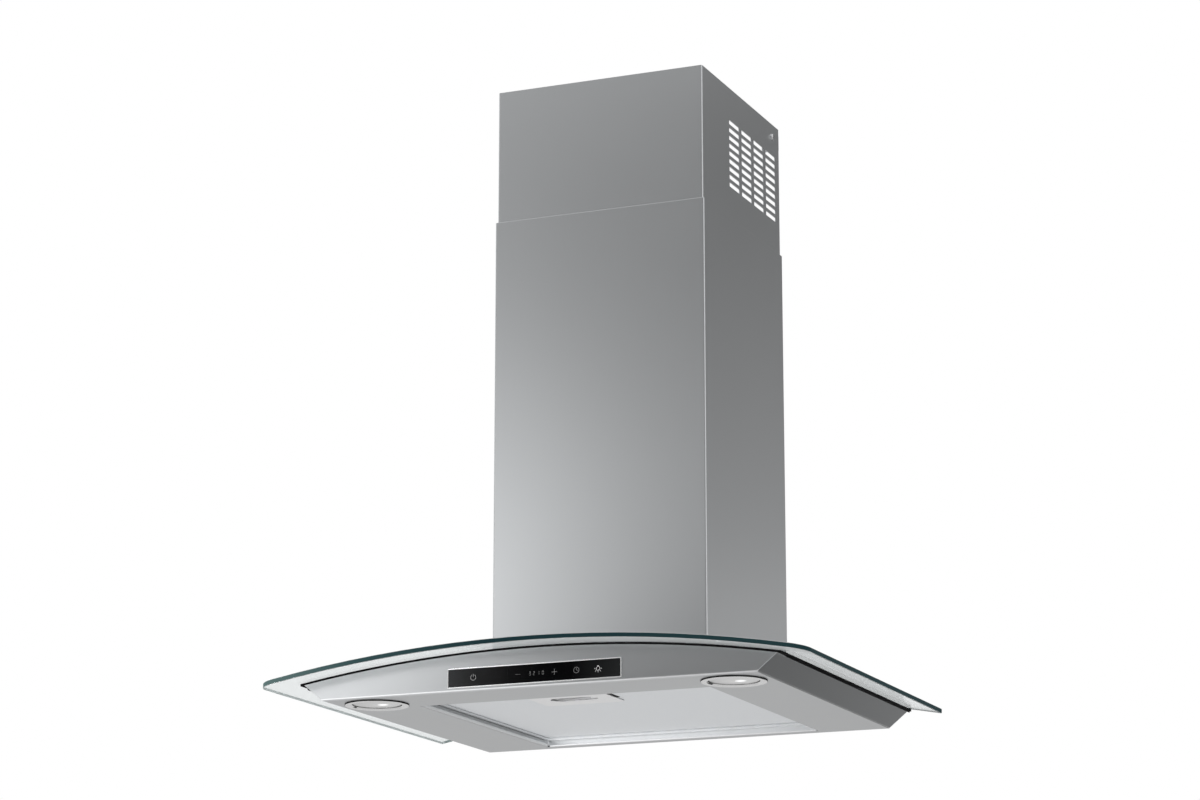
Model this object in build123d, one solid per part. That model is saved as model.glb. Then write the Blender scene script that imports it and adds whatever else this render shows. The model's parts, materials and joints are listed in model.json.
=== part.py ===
from build123d import *
import os
from math import atan2, cos, degrees, radians, sin, sqrt, tan

# A wall-mounted chimney range hood with an arched glass canopy, as its separate pieces.
# Millimetres: X runs to the right, Y towards the wall, Z up. The wall is the plane Y = 0.
# The pieces are drawn with Z = 0 on the underside of the bottom panel, and written out
# with the origin in the middle of the two wall slots.

# Clearances
SEAT = 0.05  # between curved faces that rest on each other
FIT = 0.3  # around a piece that drops into a cut-out
RUN = 0.05  # radial, between a turning pin and its hole
SCREW_PLAY = 0.2  # radial, between a screw and its hole

# Sheet metal
SHEET = 0.8  # stainless steel of the body and the duct covers
BEND = 1.2  # inside radius of its folds
STEEL = 1.0  # galvanised steel of the motor box
BACK_STEEL = 1.5  # the motor box's back and the brackets

# Glass canopy and its gasket
GLASS_SIDE = 60.5  # past each side of the bottom panel
GLASS_FRONT = 30.0  # past the body's front
GLASS_THICK = 5.0
GLASS_RADIUS = 1540.0  # of the arch, on its underside
GLASS_APEX = 42.0  # height of the underside at the middle
GLASS_CORNER = 17.0
GLASS_EDGE = 0.8  # round of the polished front and side edges
GLASS_WALL_GAP = 1.0
NOTCH_GAP = 2.0  # from the glass's rear notch to the motor box
GASKET_THICK = 2.4
GASKET_WIDTH = 14.0
GASKET_OVERHANG = 4.5  # past the side panels

# Body
BODY_WIDTH = 477.0  # across the bottom panel
BODY_DEPTH = 411.5
FLARE_ANGLE = 50.9  # of the side panels, from the vertical
FRONT_LIP = 7.0  # folded under the front panel
SEAM = 0.4  # from its lip to the bottom panel
EDGE_ROUND = 0.5  # of the front panel's side edges
PASSAGE_MARGIN = 16.0  # from the motor box's outside to the air passage
PASSAGE_CORNER = 8.0

# Filter opening
OPENING_SIDE = 78.0  # from each side of the bottom panel
OPENING_SETBACK = 73.5  # from the body's front
OPENING_REAR = 11.5  # from the wall
COLLAR_TOP = 18.0  # top of the sheet folded up round the opening
CORNER_RELIEF = 1.6  # radius of the holes where two folds meet

# Touch panel
TOUCH_WIDTH = 191.5
TOUCH_HEIGHT = 20.4
TOUCH_Z = 13.6
TOUCH_PROUD = 1.4
BEZEL_BORDER = 1.2
BEZEL_CORNER = 1.5
TOUCH_GLASS_RECESS = 0.3
TRAY_MARGIN = 4.0  # from the bezel's outside to the cut-out
TRAY_DEPTH = 12.0
TRAY_WALL = 1.2
BOARD_THICK = 1.6

# Lamps
LAMP_INSET = 40.5  # from the side of the bottom panel
LAMP_SETBACK = 44.5  # from the body's front
RING_FLANGE = 3.25  # past the hole
RING_DROP = 1.5  # below the bottom panel
RING_ROUND = 0.5
RING_WALL = 2.0
RING_DISH = 1.5  # width of the slope up to the lens
LAMP_HOLE = 30.0  # radius
NECK_TOP = 5.0
LENS_LEVEL = 0.6
LENS_THICK = 2.0
LENS_LEDGE = 1.6
LENS_DOME = 1.4  # how far the lens bulges
PUCK_HEIGHT = 10.0
FIN_COUNT = 6
FIN_GAP = 3.0
FIN_DEPTH = 6.0
CLIP_WIDTH = 10.0
CLIP_THICK = 0.6
CLIP_REACH = 11.0

# Grease filter
FILTER_GAP = 0.8  # round the filter in its opening
FILTER_RECESS = 7.0  # above the bottom panel's underside
FILTER_THICK = 9.0
FRAME_SHEET = 1.0
FRAME_LIP = 7.0
HINGE_BAR = 6.0  # from the hinge axis to the mesh
MESH_THICK = 0.6
LAYER_GAP = 0.1
PLEAT_PITCH = 8.0
PLEAT_THICK = 0.4
PEG_RADIUS = 2.0
PEG_SEAT = 12.0  # length of a peg inside the frame
PEG_END = 1.7  # past the collar

# Filter latch
LATCH_X = -13.0
LATCH_WIDTH = 88.0
LATCH_DEPTH = 54.0
LATCH_SETBACK = 37.2  # from the filter's front edge
LATCH_CORNER = 4.0
LATCH_RIM = 3.0
TRAY_SIDE = 1.5
LATCH_ROOM = 5.4  # inside height
RECESS_LENGTH = 52.0
RECESS_WIDTH = 22.0
SLIDER_THICK = 3.0
SLIDER_DEPTH = 33.0
SLIDER_MARGIN = 3.0
RIDGE_LENGTH = 36.0
RIDGE_THICK = 2.0
LATCH_TRAVEL = 6.0
TONGUE_CLEAR = 0.2  # drawn back behind the filter's front edge
BAR_WIDTH = 16.0
BAR_THICK = 1.5
TONGUE_WIDTH = 14.0
TONGUE_THICK = 0.6
SPRING_WIDTH = 44.0
SPRING_THICK = 0.5
SPRING_HEIGHT = 2.2

# Duct covers
COVER_SIDE_ROOM = 11.0  # from the motor box to the lower cover's outside
COVER_FRONT_ROOM = 18.0
COVER_TOP = 547.0  # upper edge of the lower cover
COVER_GAP = 1.1  # between the two covers
COVER_EDGE_FLAT = 0.1  # left of the sheet beside the round on the lower cover's upper edge
REAR_LIP = 5.0  # folded in along the rear edges
LIP_GAP = 0.4
UPPER_LENGTH = 490.0
UPPER_SHOWN = 150.6
VENT_LENGTH = 31.0
VENT_WIDTH = 4.8
VENT_CORNER = 0.6
VENT_COLUMNS = 4
VENT_ROWS = 9
VENT_COLUMN_PITCH = 38.5
VENT_ROW_PITCH = 9.0
VENT_Y = 88.7  # middle of the vents, from the wall
VENT_DROP = 75.7  # middle of the vents, below the top edge
COVER_SCREW_Y = 25.0
COVER_SCREW_DROP = 15.6
BRACKET_HEIGHT = 17.0
BRACKET_WALL_LEG = 20.0
BRACKET_SIDE_LEG = 42.0
BRACKET_HOLE = 2.75  # radius
STAY_LOW = 52.0
STAY_HEIGHT = 18.0
STAY_LEG = 24.0

# Motor box
BOX_WIDTH = 224.0
BOX_TOP = 290.0
BOX_FLANGE = 14.0
FLANGE_SCREW_X = 74.0
HANG_HEIGHT = 340.0  # of the wall slots
HANG_SPACING = 150.0
HANG_SLOT_LENGTH = 16.0
HANG_SLOT_RADIUS = 4.0
BACK_MARGIN = 18.0  # above the wall slots
BACK_CORNER = 10.0
SAFETY_HEIGHT = 76.0
SAFETY_SPACING = 170.0
SAFETY_HOLE = 3.0  # radius

# Fan
FAN_Z = 150.0  # axis
IMPELLER_RADIUS = 58.0
BLADE_DEPTH = 12.0
BLADE_INSET = 1.0  # of the blades' tips, from the rims
BLADE_COUNT = 36
BLADE_THICK = 0.8
BLADE_SWEEP = 12.0  # forward lean, in degrees round the axis
BLADE_CURVE = 13.0  # radius
IMPELLER_HALF = 42.0
RIM_WIDTH = 2.0
RIM_DEPTH = 3.0
DISC_THICK = 2.0
HUB_RADIUS = 9.0
HUB_LENGTH = 18.0
SCROLL_CLEAR = 15.0  # from the wheel to the spiral's top quarter
SCROLL_REAR_GAP = 3.0  # from the spiral to the motor box's back
SCROLL_STEP = 9.0  # growth in each quarter turn
WHEEL_GAP = 8.0  # from the wheel's ends to the scroll's sides
SCROLL_WALL = 2.0
THROAT_DEPTH = 80.0
SCROLL_LIP = 9.0
SCROLL_SCREW_PITCH = 36.0
INLET_RADIUS = 47.0
MOUTH_ROUND = 6.5
MOUTH_FLANGE = 4.0
MOUTH_SKIRT = 5.0
MOUTH_EDGE = 1.5

# Motor
SHAFT_RADIUS = 4.0
MOTOR_RADIUS = 30.0
MOTOR_START = 12.0
MOTOR_END = 66.0
MOTOR_CHAMFER = 3.0
BOSS_RADIUS = 12.0
BOSS_LENGTH = 2.5
SHAFT_DEPTH = 40.0  # inside the motor
ARM_COUNT = 3
ARM_WIDTH = 12.0
ARM_THICK = 2.0
RING_INSIDE = 18.0
CAPACITOR_RADIUS = 15.0
CAPACITOR_LENGTH = 52.0
CAPACITOR_CHAMFER = 2.0
CAPACITOR_INSET = 27.0  # from the motor box's side
CAPACITOR_Y = 32.0
STUD_RADIUS = 4.0
STUD_LENGTH = 9.0
NUT_ACROSS = 13.0
NUT_HEIGHT = 4.0

# Control box
CONTROL_WIDTH = 90.0
CONTROL_HEIGHT = 36.0
CONTROL_WALL_GAP = 6.0
CONTROL_GAP = 3.5  # to the spigot
CONTROL_WALL = 2.0
LID_THICK = 2.5
LID_SCREW_INSET = 7.0
GLAND_RADIUS = 8.0
GLAND_ACROSS = 22.0
GLAND_HEX = 4.7  # length of the hexagon
GLAND_DOME = 9.0
GLAND_CHAMFER = 4.0
GLAND_BORE = 3.5

# Outlet
SPIGOT_RADIUS = 75.0
SPIGOT_WALL = 2.0
SPIGOT_HEIGHT = 47.0
SPIGOT_CHAMFER = 1.0
SPIGOT_FLANGE = 11.0
SPIGOT_MARGIN = 2.5  # from its flange to the motor box's front
SPIGOT_FLANGE_THICK = 3.0
SPIGOT_SCREWS = 4
SPIGOT_SCREW_TURN = 45.0
AXLE_HEIGHT = 24.0
AXLE_RADIUS = 2.0
AXLE_BOSS = 5.0  # radius
AXLE_BOSS_LENGTH = 4.5
FLAP_THICK = 1.5
FLAP_PLAY = 1.5  # to the spigot's wall
FLAP_START = 5.6  # from the axle to the flap's inner edge
FLAP_LIFT = 0.4  # above its ledge
LEDGE_WIDTH = 4.0
LEDGE_THICK = 1.5
KNUCKLE_RADIUS = 3.6
KNUCKLE_LENGTH = 14.0
KNUCKLES = (-50.0, 20.0)  # along the axle, on the left flap

# Screws
SCREW_RADIUS = 2.0
SCREW_HEAD = 3.8
SCREW_HEAD_HEIGHT = 2.2
SCREW_HEAD_CHAMFER = 0.9
SCREW_PAST = 1.5  # beyond what a screw holds together
LID_SCREW_LENGTH = 12.0

# Places that follow from the sizes above
GLASS_WIDTH = BODY_WIDTH + 2 * GLASS_SIDE
GLASS_DEPTH = BODY_DEPTH + GLASS_FRONT
OPENING_WIDTH = BODY_WIDTH - 2 * OPENING_SIDE
OPENING_FRONT = BODY_DEPTH - OPENING_SETBACK
LAMP_X = BODY_WIDTH / 2 - LAMP_INSET
LAMP_Y = BODY_DEPTH - LAMP_SETBACK
RING_RADIUS = LAMP_HOLE + RING_FLANGE
SCROLL_RADIUS = IMPELLER_RADIUS + SCROLL_CLEAR
SCROLL_HALF = IMPELLER_HALF + WHEEL_GAP
SCROLL_SIDE = SCROLL_HALF + SCROLL_WALL
SCROLL_TOP = BOX_TOP - STEEL
FAN_Y = BACK_STEEL + SCROLL_REAR_GAP + SCROLL_WALL + SCROLL_RADIUS + SCROLL_STEP / 2
SCROLL_FRONT = -FAN_Y - SCROLL_STEP / 2 - (SCROLL_RADIUS + 2 * SCROLL_STEP)
DUCT_Y = SCROLL_FRONT + THROAT_DEPTH / 2
SPIGOT_RIM = SPIGOT_RADIUS + SPIGOT_FLANGE
SPIGOT_BORE = SPIGOT_RADIUS - SPIGOT_WALL
BOX_DEPTH = SPIGOT_RIM + SPIGOT_MARGIN - DUCT_Y
COVER_WIDTH = BOX_WIDTH + 2 * COVER_SIDE_ROOM
COVER_DEPTH = BOX_DEPTH + COVER_FRONT_ROOM
CONTROL_DEPTH = -DUCT_Y - SPIGOT_RIM - CONTROL_GAP - CONTROL_WALL_GAP
CAPACITOR_X = CAPACITOR_INSET - BOX_WIDTH / 2
ARCH_Z = GLASS_APEX - GLASS_RADIUS
TOP_RADIUS = GLASS_RADIUS - GASKET_THICK
GLASS_TOP_RADIUS = GLASS_RADIUS + GLASS_THICK
FAR = GLASS_WIDTH + BODY_DEPTH + COVER_TOP
FILTER_FRONT = -OPENING_FRONT + FILTER_GAP
FILTER_TOP = FILTER_RECESS + FILTER_THICK
HINGE_Y = -OPENING_REAR - FILTER_GAP - FILTER_THICK / 2
HINGE_Z = FILTER_RECESS + FILTER_THICK / 2
LATCH_FRONT = FILTER_FRONT + LATCH_SETBACK
LATCH_REAR = LATCH_FRONT + LATCH_DEPTH
LATCH_FLOOR = FILTER_RECESS + FRAME_SHEET
SLIDER_LOW = LATCH_FLOOR + FIT
TONGUE_TIP = FILTER_FRONT - LATCH_TRAVEL + TONGUE_CLEAR
UPPER_TOP = COVER_TOP + UPPER_SHOWN
UPPER_WIDTH = COVER_WIDTH - 2 * (SHEET + COVER_GAP)
UPPER_FRONT = -COVER_DEPTH + SHEET + COVER_GAP
UPPER_REAR = -SHEET - LIP_GAP
MOUTH_RIM = INLET_RADIUS + FIT + MOUTH_ROUND + MOUTH_FLANGE
ARM_RADIUS = MOUTH_RIM + FIT + ARM_THICK
ARM_FOOT = 2 * (SCREW_HEAD + FIT)
LAMP_NECK = LAMP_HOLE - FIT
PUCK_TOP = NECK_TOP + PUCK_HEIGHT

# Lengths of the screws below their heads
COVER_GRIP = SHEET + SEAT + BACK_STEEL + SCREW_PAST
FLANGE_GRIP = STEEL + SEAT + SHEET + SCREW_PAST
SCROLL_GRIP = STEEL + SCROLL_WALL + SCREW_PAST
ARM_GRIP = ARM_THICK + SCROLL_WALL + SCREW_PAST
SPIGOT_GRIP = SPIGOT_FLANGE_THICK + STEEL + SCREW_PAST


def rectangle(left, right, low, high):
    """A rectangle between two limits on each axis."""
    middle = Pos((left + right) / 2, (low + high) / 2)
    return middle * Rectangle(right - left, high - low)


def along_x(sketch, left, right):
    """A sketch of (y, z) drawn out along X."""
    return Pos(left, 0, 0) * extrude(Plane.YZ * sketch, right - left)


def along_y(sketch, front, rear):
    """A sketch of (x, z) drawn out along Y."""
    return Pos(0, rear, 0) * extrude(Plane.XZ * sketch, rear - front)


def along_z(sketch, low, high):
    """A sketch of (x, y) drawn out along Z."""
    return Pos(0, 0, low) * extrude(sketch, high - low)


def near(edges, axis, low, high):
    """The edges whose middle lies between two places along an axis."""
    return edges.filter_by_position(axis, low - SEAT, high + SEAT)


def corner(sketch, x, y):
    """The vertex of a sketch that lies nearest to a point."""
    return sketch.vertices().sort_by_distance((x, y, 0))[0]


def pattern(places, shape):
    """One sketch of a shape repeated at several places."""
    return Sketch() + [place * shape for place in places]


def arch(radius):
    """A disc about the centre of the glass's arch, in (x, z)."""
    return Pos(0, ARCH_Z) * Circle(radius)


def screw(length):
    """A pan-head screw: its head stands on Z = 0 and its shank points down."""
    head = Pos(0, 0, SCREW_HEAD_HEIGHT / 2) * Cylinder(SCREW_HEAD, SCREW_HEAD_HEIGHT)
    head = chamfer(head.edges().sort_by(Axis.Z)[-1], SCREW_HEAD_CHAMFER)
    return head + Pos(0, 0, -length / 2) * Cylinder(SCREW_RADIUS, length)


def screw_holes(places, length):
    """Clearance holes for screws at the given places."""
    radius = SCREW_RADIUS + SCREW_PLAY
    return [place * Cylinder(radius, 2 * length) for place in places]


# Body

def body_outline(inset=0.0):
    """Cross-section of the body: flat below, flared sides and an arched top."""
    slope = radians(FLARE_ANGLE)
    half = BODY_WIDTH / 2 - inset / cos(slope)
    reach = half + GLASS_APEX * tan(slope)
    points = [(-half, 0), (half, 0), (reach, GLASS_APEX), (-reach, GLASS_APEX)]
    return Polygon(*points, align=None) & arch(TOP_RADIUS)


OUTLINE = body_outline()
BODY_TOP_HALF = OUTLINE.bounding_box().max.X
FLOOR_STRIP = rectangle(-FAR, FAR, 0, SHEET)


def touch_rectangle(margin, radius):
    """The touch panel's outline in (x, z), drawn in by a margin."""
    width = TOUCH_WIDTH - 2 * margin
    height = TOUCH_HEIGHT - 2 * margin
    return Pos(0, TOUCH_Z) * RectangleRounded(width, height, radius)


def front_panel():
    front = -BODY_DEPTH
    fold = rectangle(front, front + SHEET, 0, GLASS_APEX)
    fold += rectangle(front, front + FRONT_LIP, 0, SHEET)
    fold = fillet(corner(fold, front, 0), BEND + SHEET)
    fold = fillet(corner(fold, front + SHEET, SHEET), BEND)
    panel = along_x(fold, -FAR, FAR) & along_y(OUTLINE, -FAR, 0)
    side_edges = near(panel.edges(), Axis.Y, front, front).filter_by(GeomType.LINE)
    panel = fillet(side_edges.filter_by(Axis.X, reverse=True), EDGE_ROUND)
    cut_out = touch_rectangle(TRAY_MARGIN, BEZEL_CORNER)
    return panel - along_y(cut_out, front, front + SHEET)


def side_panel(side):
    skin = OUTLINE - body_outline(SHEET) - FLOOR_STRIP
    skin = skin & arch(TOP_RADIUS - SHEET)
    skin = skin & Pos(side * FAR / 2, 0) * Rectangle(FAR, FAR)
    return along_y(skin, -BODY_DEPTH + SHEET, -SHEET) - front_panel()


def rear_panel():
    return along_y(OUTLINE, -SHEET, 0)


def bottom_panel():
    half = OPENING_WIDTH / 2
    opening = rectangle(-half, half, -OPENING_FRONT, -OPENING_REAR)
    outside = rectangle(
        -half - SHEET, half + SHEET, -OPENING_FRONT - SHEET, -OPENING_REAR + SHEET
    )
    plate = along_y(OUTLINE & FLOOR_STRIP, -BODY_DEPTH + FRONT_LIP + SEAM, -SHEET)
    panel = plate + along_z(outside, 0, COLLAR_TOP)
    fold = near(panel.edges(), Axis.Z, SHEET, SHEET)
    fold = near(fold, Axis.X, -half - SHEET, half + SHEET)
    fold = near(fold, Axis.Y, -OPENING_FRONT - SHEET, -OPENING_REAR + SHEET)
    panel = fillet(fold, BEND)
    panel -= along_z(opening, 0, COLLAR_TOP)
    rim = near(panel.edges(), Axis.Z, 0, 0)
    rim = near(rim, Axis.X, -half, half)
    rim = near(rim, Axis.Y, -OPENING_FRONT, -OPENING_REAR)
    panel = fillet(rim, BEND + SHEET)
    corners = GridLocations(OPENING_WIDTH, OPENING_FRONT - OPENING_REAR, 2, 2)
    reliefs = Pos(0, -(OPENING_FRONT + OPENING_REAR) / 2) * pattern(corners, Circle(CORNER_RELIEF))
    panel -= along_z(reliefs, 0, BEND + SHEET)
    for side in (-1, 1):
        panel -= along_z(lamp_place(side) * Circle(LAMP_HOLE), 0, SHEET)
    peg_hole = Pos(HINGE_Y, HINGE_Z) * Circle(PEG_RADIUS + RUN)
    panel -= along_x(peg_hole, -half - SHEET, half + SHEET)
    keeper = tongue_outline(2 * FIT)
    return panel - along_y(keeper, -OPENING_FRONT - SHEET, -OPENING_FRONT)


def top_plate():
    plate = along_y(OUTLINE - arch(TOP_RADIUS - SHEET), -BODY_DEPTH + SHEET, -SHEET)
    half = BOX_WIDTH / 2 - PASSAGE_MARGIN
    passage = rectangle(-half, half, -BOX_DEPTH + PASSAGE_MARGIN, -PASSAGE_MARGIN)
    passage = fillet(passage.vertices(), PASSAGE_CORNER)
    return plate - along_z(passage, 0, GLASS_APEX) - screw_holes(flange_places(), FLANGE_GRIP)


# Glass

def notch():
    half = BOX_WIDTH / 2 + NOTCH_GAP
    return rectangle(-half, half, -BOX_DEPTH - NOTCH_GAP, FAR)


def arched_layer(inner, outer, plan):
    """A plan outline cut from the arched layer between two radii."""
    layer = (arch(outer) - arch(inner)) & rectangle(-FAR, FAR, ARCH_Z, FAR)
    return along_y(layer, -FAR, 0) & along_z(plan, -FAR, FAR)


def glass_canopy():
    half = GLASS_WIDTH / 2
    plan = rectangle(-half, half, -GLASS_DEPTH, -GLASS_WALL_GAP)
    plan = fillet(plan.vertices().sort_by(Axis.Y)[:2], GLASS_CORNER)
    glass = arched_layer(GLASS_RADIUS, GLASS_TOP_RADIUS, plan - notch())
    front = near(glass.edges(), Axis.Y, -GLASS_DEPTH, -GLASS_DEPTH)
    return fillet(front.filter_by(Axis.Z, reverse=True), GLASS_EDGE)


def glass_gasket():
    half = BODY_TOP_HALF + GASKET_OVERHANG
    outside = rectangle(-half, half, -BODY_DEPTH, -GLASS_WALL_GAP)
    inside = rectangle(
        -half + GASKET_WIDTH,
        half - GASKET_WIDTH,
        -BODY_DEPTH + GASKET_WIDTH,
        -GLASS_WALL_GAP - GASKET_WIDTH,
    )
    plan = outside - inside - notch()
    return arched_layer(TOP_RADIUS + SEAT, GLASS_RADIUS - SEAT, plan)


# Touch panel

def touch_bezel():
    inside = touch_rectangle(BEZEL_BORDER, BEZEL_CORNER / 2)
    frame = touch_rectangle(0, BEZEL_CORNER) - inside
    return along_y(frame, -BODY_DEPTH - TOUCH_PROUD, -BODY_DEPTH)


def touch_glass():
    face = touch_rectangle(BEZEL_BORDER + SEAT, BEZEL_CORNER / 2)
    return along_y(face, -BODY_DEPTH - TOUCH_PROUD + TOUCH_GLASS_RECESS, -BODY_DEPTH)


def touch_tray():
    front = -BODY_DEPTH
    outside = touch_rectangle(TRAY_MARGIN + FIT, BEZEL_CORNER - FIT)
    inside = touch_rectangle(TRAY_MARGIN + FIT + TRAY_WALL, BEZEL_CORNER / 2)
    tray = along_y(outside, front, front + TRAY_DEPTH)
    return tray - along_y(inside, front + TRAY_WALL, front + TRAY_DEPTH)


def touch_board():
    board = touch_rectangle(TRAY_MARGIN + 2 * FIT + TRAY_WALL, BEZEL_CORNER / 2)
    front = -BODY_DEPTH + TRAY_WALL
    return along_y(board, front, front + BOARD_THICK)


# Lamps

def lamp_place(side):
    return Pos(side * LAMP_X, -LAMP_Y, 0)


def lamp_ring():
    inside = LAMP_NECK - RING_WALL - LENS_LEDGE
    face_end = RING_RADIUS - RING_ROUND
    lower = [
        Line((LAMP_NECK, NECK_TOP), (LAMP_NECK, 0)),
        Line((LAMP_NECK, 0), (RING_RADIUS, 0)),
        Line((RING_RADIUS, 0), (RING_RADIUS, -RING_DROP + RING_ROUND)),
        CenterArc((face_end, -RING_DROP + RING_ROUND), RING_ROUND, 0, -90),
        Line((face_end, -RING_DROP), (inside + RING_DISH, -RING_DROP)),
    ]
    upper = Polyline(
        (inside + RING_DISH, -RING_DROP),
        (inside, 0),
        (inside, LENS_LEVEL),
        (inside + LENS_LEDGE, LENS_LEVEL),
        (inside + LENS_LEDGE, NECK_TOP),
        (LAMP_NECK, NECK_TOP),
    )
    return revolve(Plane.XZ * make_face(lower + upper.edges()), Axis.Z)


def lamp_lens():
    """A disc on the ring's ledge that bulges down through the ring."""
    rim = LAMP_NECK - RING_WALL - FIT
    base = rim - LENS_LEDGE
    low = LENS_LEVEL - LENS_DOME
    radius = (base**2 + LENS_DOME**2) / (2 * LENS_DOME)
    disc = along_z(Circle(rim), LENS_LEVEL, LENS_LEVEL + LENS_THICK)
    bulge = along_z(Circle(base), low, LENS_LEVEL) & Pos(0, 0, low + radius) * Sphere(radius)
    return disc + bulge


def lamp_puck():
    """Lamp body with cooling slots across its back."""
    puck = along_z(Circle(LAMP_NECK), NECK_TOP, PUCK_TOP)
    pitch = 2 * LAMP_NECK / FIN_COUNT
    slot = Rectangle(FIN_GAP, 2 * LAMP_NECK)
    slots = pattern(GridLocations(pitch, 0, FIN_COUNT - 1, 1), slot)
    return puck - along_z(slots, PUCK_TOP - FIN_DEPTH, PUCK_TOP)


def lamp_clips():
    """Spring strips, two to a lamp, that press the bottom panel against the trim ring."""
    side = LAMP_NECK + CLIP_THICK / 2
    low = SHEET + 2 * CLIP_THICK
    toe = side + CLIP_REACH
    bend = Polyline((side, PUCK_TOP), (side, NECK_TOP + FIN_DEPTH), (toe, low), (toe, PUCK_TOP / 2))
    strip = along_x(trace(bend, CLIP_THICK), -CLIP_WIDTH / 2, CLIP_WIDTH / 2)
    return [lamp_place(side) * Rot(0, 0, turn) * strip for side in (-1, 1) for turn in (0, 180)]


# Duct covers

def cover_outline(width, front, rear):
    outside = rectangle(-width / 2, width / 2, front, rear)
    return fillet(outside.vertices(), BEND + SHEET)


def cover_plan(width, front, rear):
    """Plan of a duct cover: a front and two sides, folded in along the rear edges."""
    half = width / 2
    inside = rectangle(-half + SHEET, half - SHEET, front + SHEET, rear - SHEET)
    mouth = rectangle(-half + REAR_LIP, half - REAR_LIP, rear - 2 * SHEET, rear + SHEET)
    wall = cover_outline(width, front, rear) - fillet(inside.vertices(), BEND)
    return wall - mouth


def lower_duct_cover():
    block = along_z(cover_outline(COVER_WIDTH, -COVER_DEPTH, 0), 0, COVER_TOP)
    block = fillet(block.faces().sort_by(Axis.Z)[-1].edges(), SHEET - COVER_EDGE_FLAT)
    cover = block & along_z(cover_plan(COVER_WIDTH, -COVER_DEPTH, 0), 0, COVER_TOP)
    return cover - along_y(arch(GLASS_TOP_RADIUS + SEAT), -FAR, FAR)


def upper_duct_cover():
    plan = cover_plan(UPPER_WIDTH, UPPER_FRONT, UPPER_REAR)
    cover = along_z(plan, UPPER_TOP - UPPER_LENGTH, UPPER_TOP)
    grid = GridLocations(VENT_COLUMN_PITCH, VENT_ROW_PITCH, VENT_COLUMNS, VENT_ROWS)
    vents = pattern(grid, RectangleRounded(VENT_LENGTH, VENT_WIDTH, VENT_CORNER))
    middle = Pos(-VENT_Y, UPPER_TOP - VENT_DROP)
    cover -= along_x(middle * vents, -UPPER_WIDTH, UPPER_WIDTH)
    inside = UPPER_WIDTH / 2 - SHEET
    bracket_room = rectangle(-inside, inside, UPPER_REAR - SHEET - BEND, 0)
    cover -= along_z(bracket_room, bracket_low() - FIT, UPPER_TOP)
    return cover - screw_holes(cover_screw_places(), COVER_GRIP)


def bracket_low():
    return UPPER_TOP - COVER_SCREW_DROP - BRACKET_HEIGHT / 2


def cover_screw_places():
    level = UPPER_TOP - COVER_SCREW_DROP
    return [
        Pos(side * UPPER_WIDTH / 2, -COVER_SCREW_Y, level) * Rot(0, side * 90, 0)
        for side in (-1, 1)
    ]


def upper_bracket(side):
    """An angle on the wall, inside the upper cover's rear corner."""
    outside = UPPER_WIDTH / 2 - SHEET - SEAT
    plan = rectangle(outside - BRACKET_WALL_LEG, outside, -BRACKET_SIDE_LEG, 0)
    plan -= rectangle(-FAR, outside - BACK_STEEL, -FAR, -BACK_STEEL)
    low = bracket_low()
    bracket = along_z(plan, low, low + BRACKET_HEIGHT)
    hole_x = outside - BRACKET_WALL_LEG / 2 - BACK_STEEL / 2
    hole = Pos(hole_x, low + BRACKET_HEIGHT / 2) * Circle(BRACKET_HOLE)
    bracket -= along_y(hole, -BACK_STEEL, 0)
    if side < 0:
        bracket = mirror(bracket, Plane.YZ)
    return bracket - screw_holes(cover_screw_places(), COVER_GRIP)


def cover_stay():
    """A strip across the motor box's front that centres the lower cover."""
    half = COVER_WIDTH / 2 - SHEET - FIT
    plan = rectangle(-half, half, -BOX_DEPTH - BACK_STEEL, -BOX_DEPTH + STAY_LEG)
    plan -= rectangle(-half + BACK_STEEL, half - BACK_STEEL, -BOX_DEPTH, FAR)
    return along_z(plan, STAY_LOW, STAY_LOW + STAY_HEIGHT)


# Grease filter

def filter_side(inset):
    return OPENING_WIDTH / 2 - FILTER_GAP - inset


def layer_plan(inset):
    """Plan of the space inside the filter frame, drawn in by an inset."""
    half = filter_side(FRAME_SHEET + inset)
    return rectangle(-half, half, FILTER_FRONT + FRAME_SHEET + inset, HINGE_Y - HINGE_BAR - inset)


def filter_frame():
    profile = rectangle(FILTER_FRONT, HINGE_Y, FILTER_RECESS, FILTER_TOP)
    profile += Pos(HINGE_Y, HINGE_Z) * Circle(FILTER_THICK / 2)
    frame = along_x(profile, -filter_side(0), filter_side(0))
    frame -= along_z(layer_plan(0), FILTER_RECESS + FRAME_SHEET, FILTER_TOP - FRAME_SHEET)
    frame -= along_z(layer_plan(FRAME_LIP - FRAME_SHEET), FILTER_RECESS, FILTER_TOP)
    peg_hole = Pos(HINGE_Y, HINGE_Z) * Circle(PEG_RADIUS)
    for side in (-1, 1):
        frame -= Pos(side * (filter_side(0) - PEG_SEAT / 2), 0, 0) * along_x(
            peg_hole, -PEG_SEAT / 2, PEG_SEAT / 2
        )
    return frame - along_y(tongue_outline(2 * FIT), FILTER_FRONT, FILTER_FRONT + FRAME_SHEET)


def filter_pegs():
    length = PEG_SEAT + FILTER_GAP + SHEET + PEG_END
    peg = Pos(HINGE_Y, HINGE_Z) * Circle(PEG_RADIUS)
    start = filter_side(0) - PEG_SEAT
    return [along_x(peg, start, start + length), along_x(peg, -start - length, -start)]


def latch_opening(margin):
    """Plan of the latch tray, with a margin round it."""
    half = LATCH_WIDTH / 2 - LATCH_RIM + margin
    front = LATCH_FRONT + LATCH_RIM - margin
    rear = LATCH_REAR - LATCH_RIM + margin
    return rectangle(LATCH_X - half, LATCH_X + half, front, rear)


def filter_face_mesh():
    low = FILTER_RECESS + FRAME_SHEET + LAYER_GAP
    return along_z(layer_plan(FIT) - latch_opening(FIT), low, low + MESH_THICK)


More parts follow.
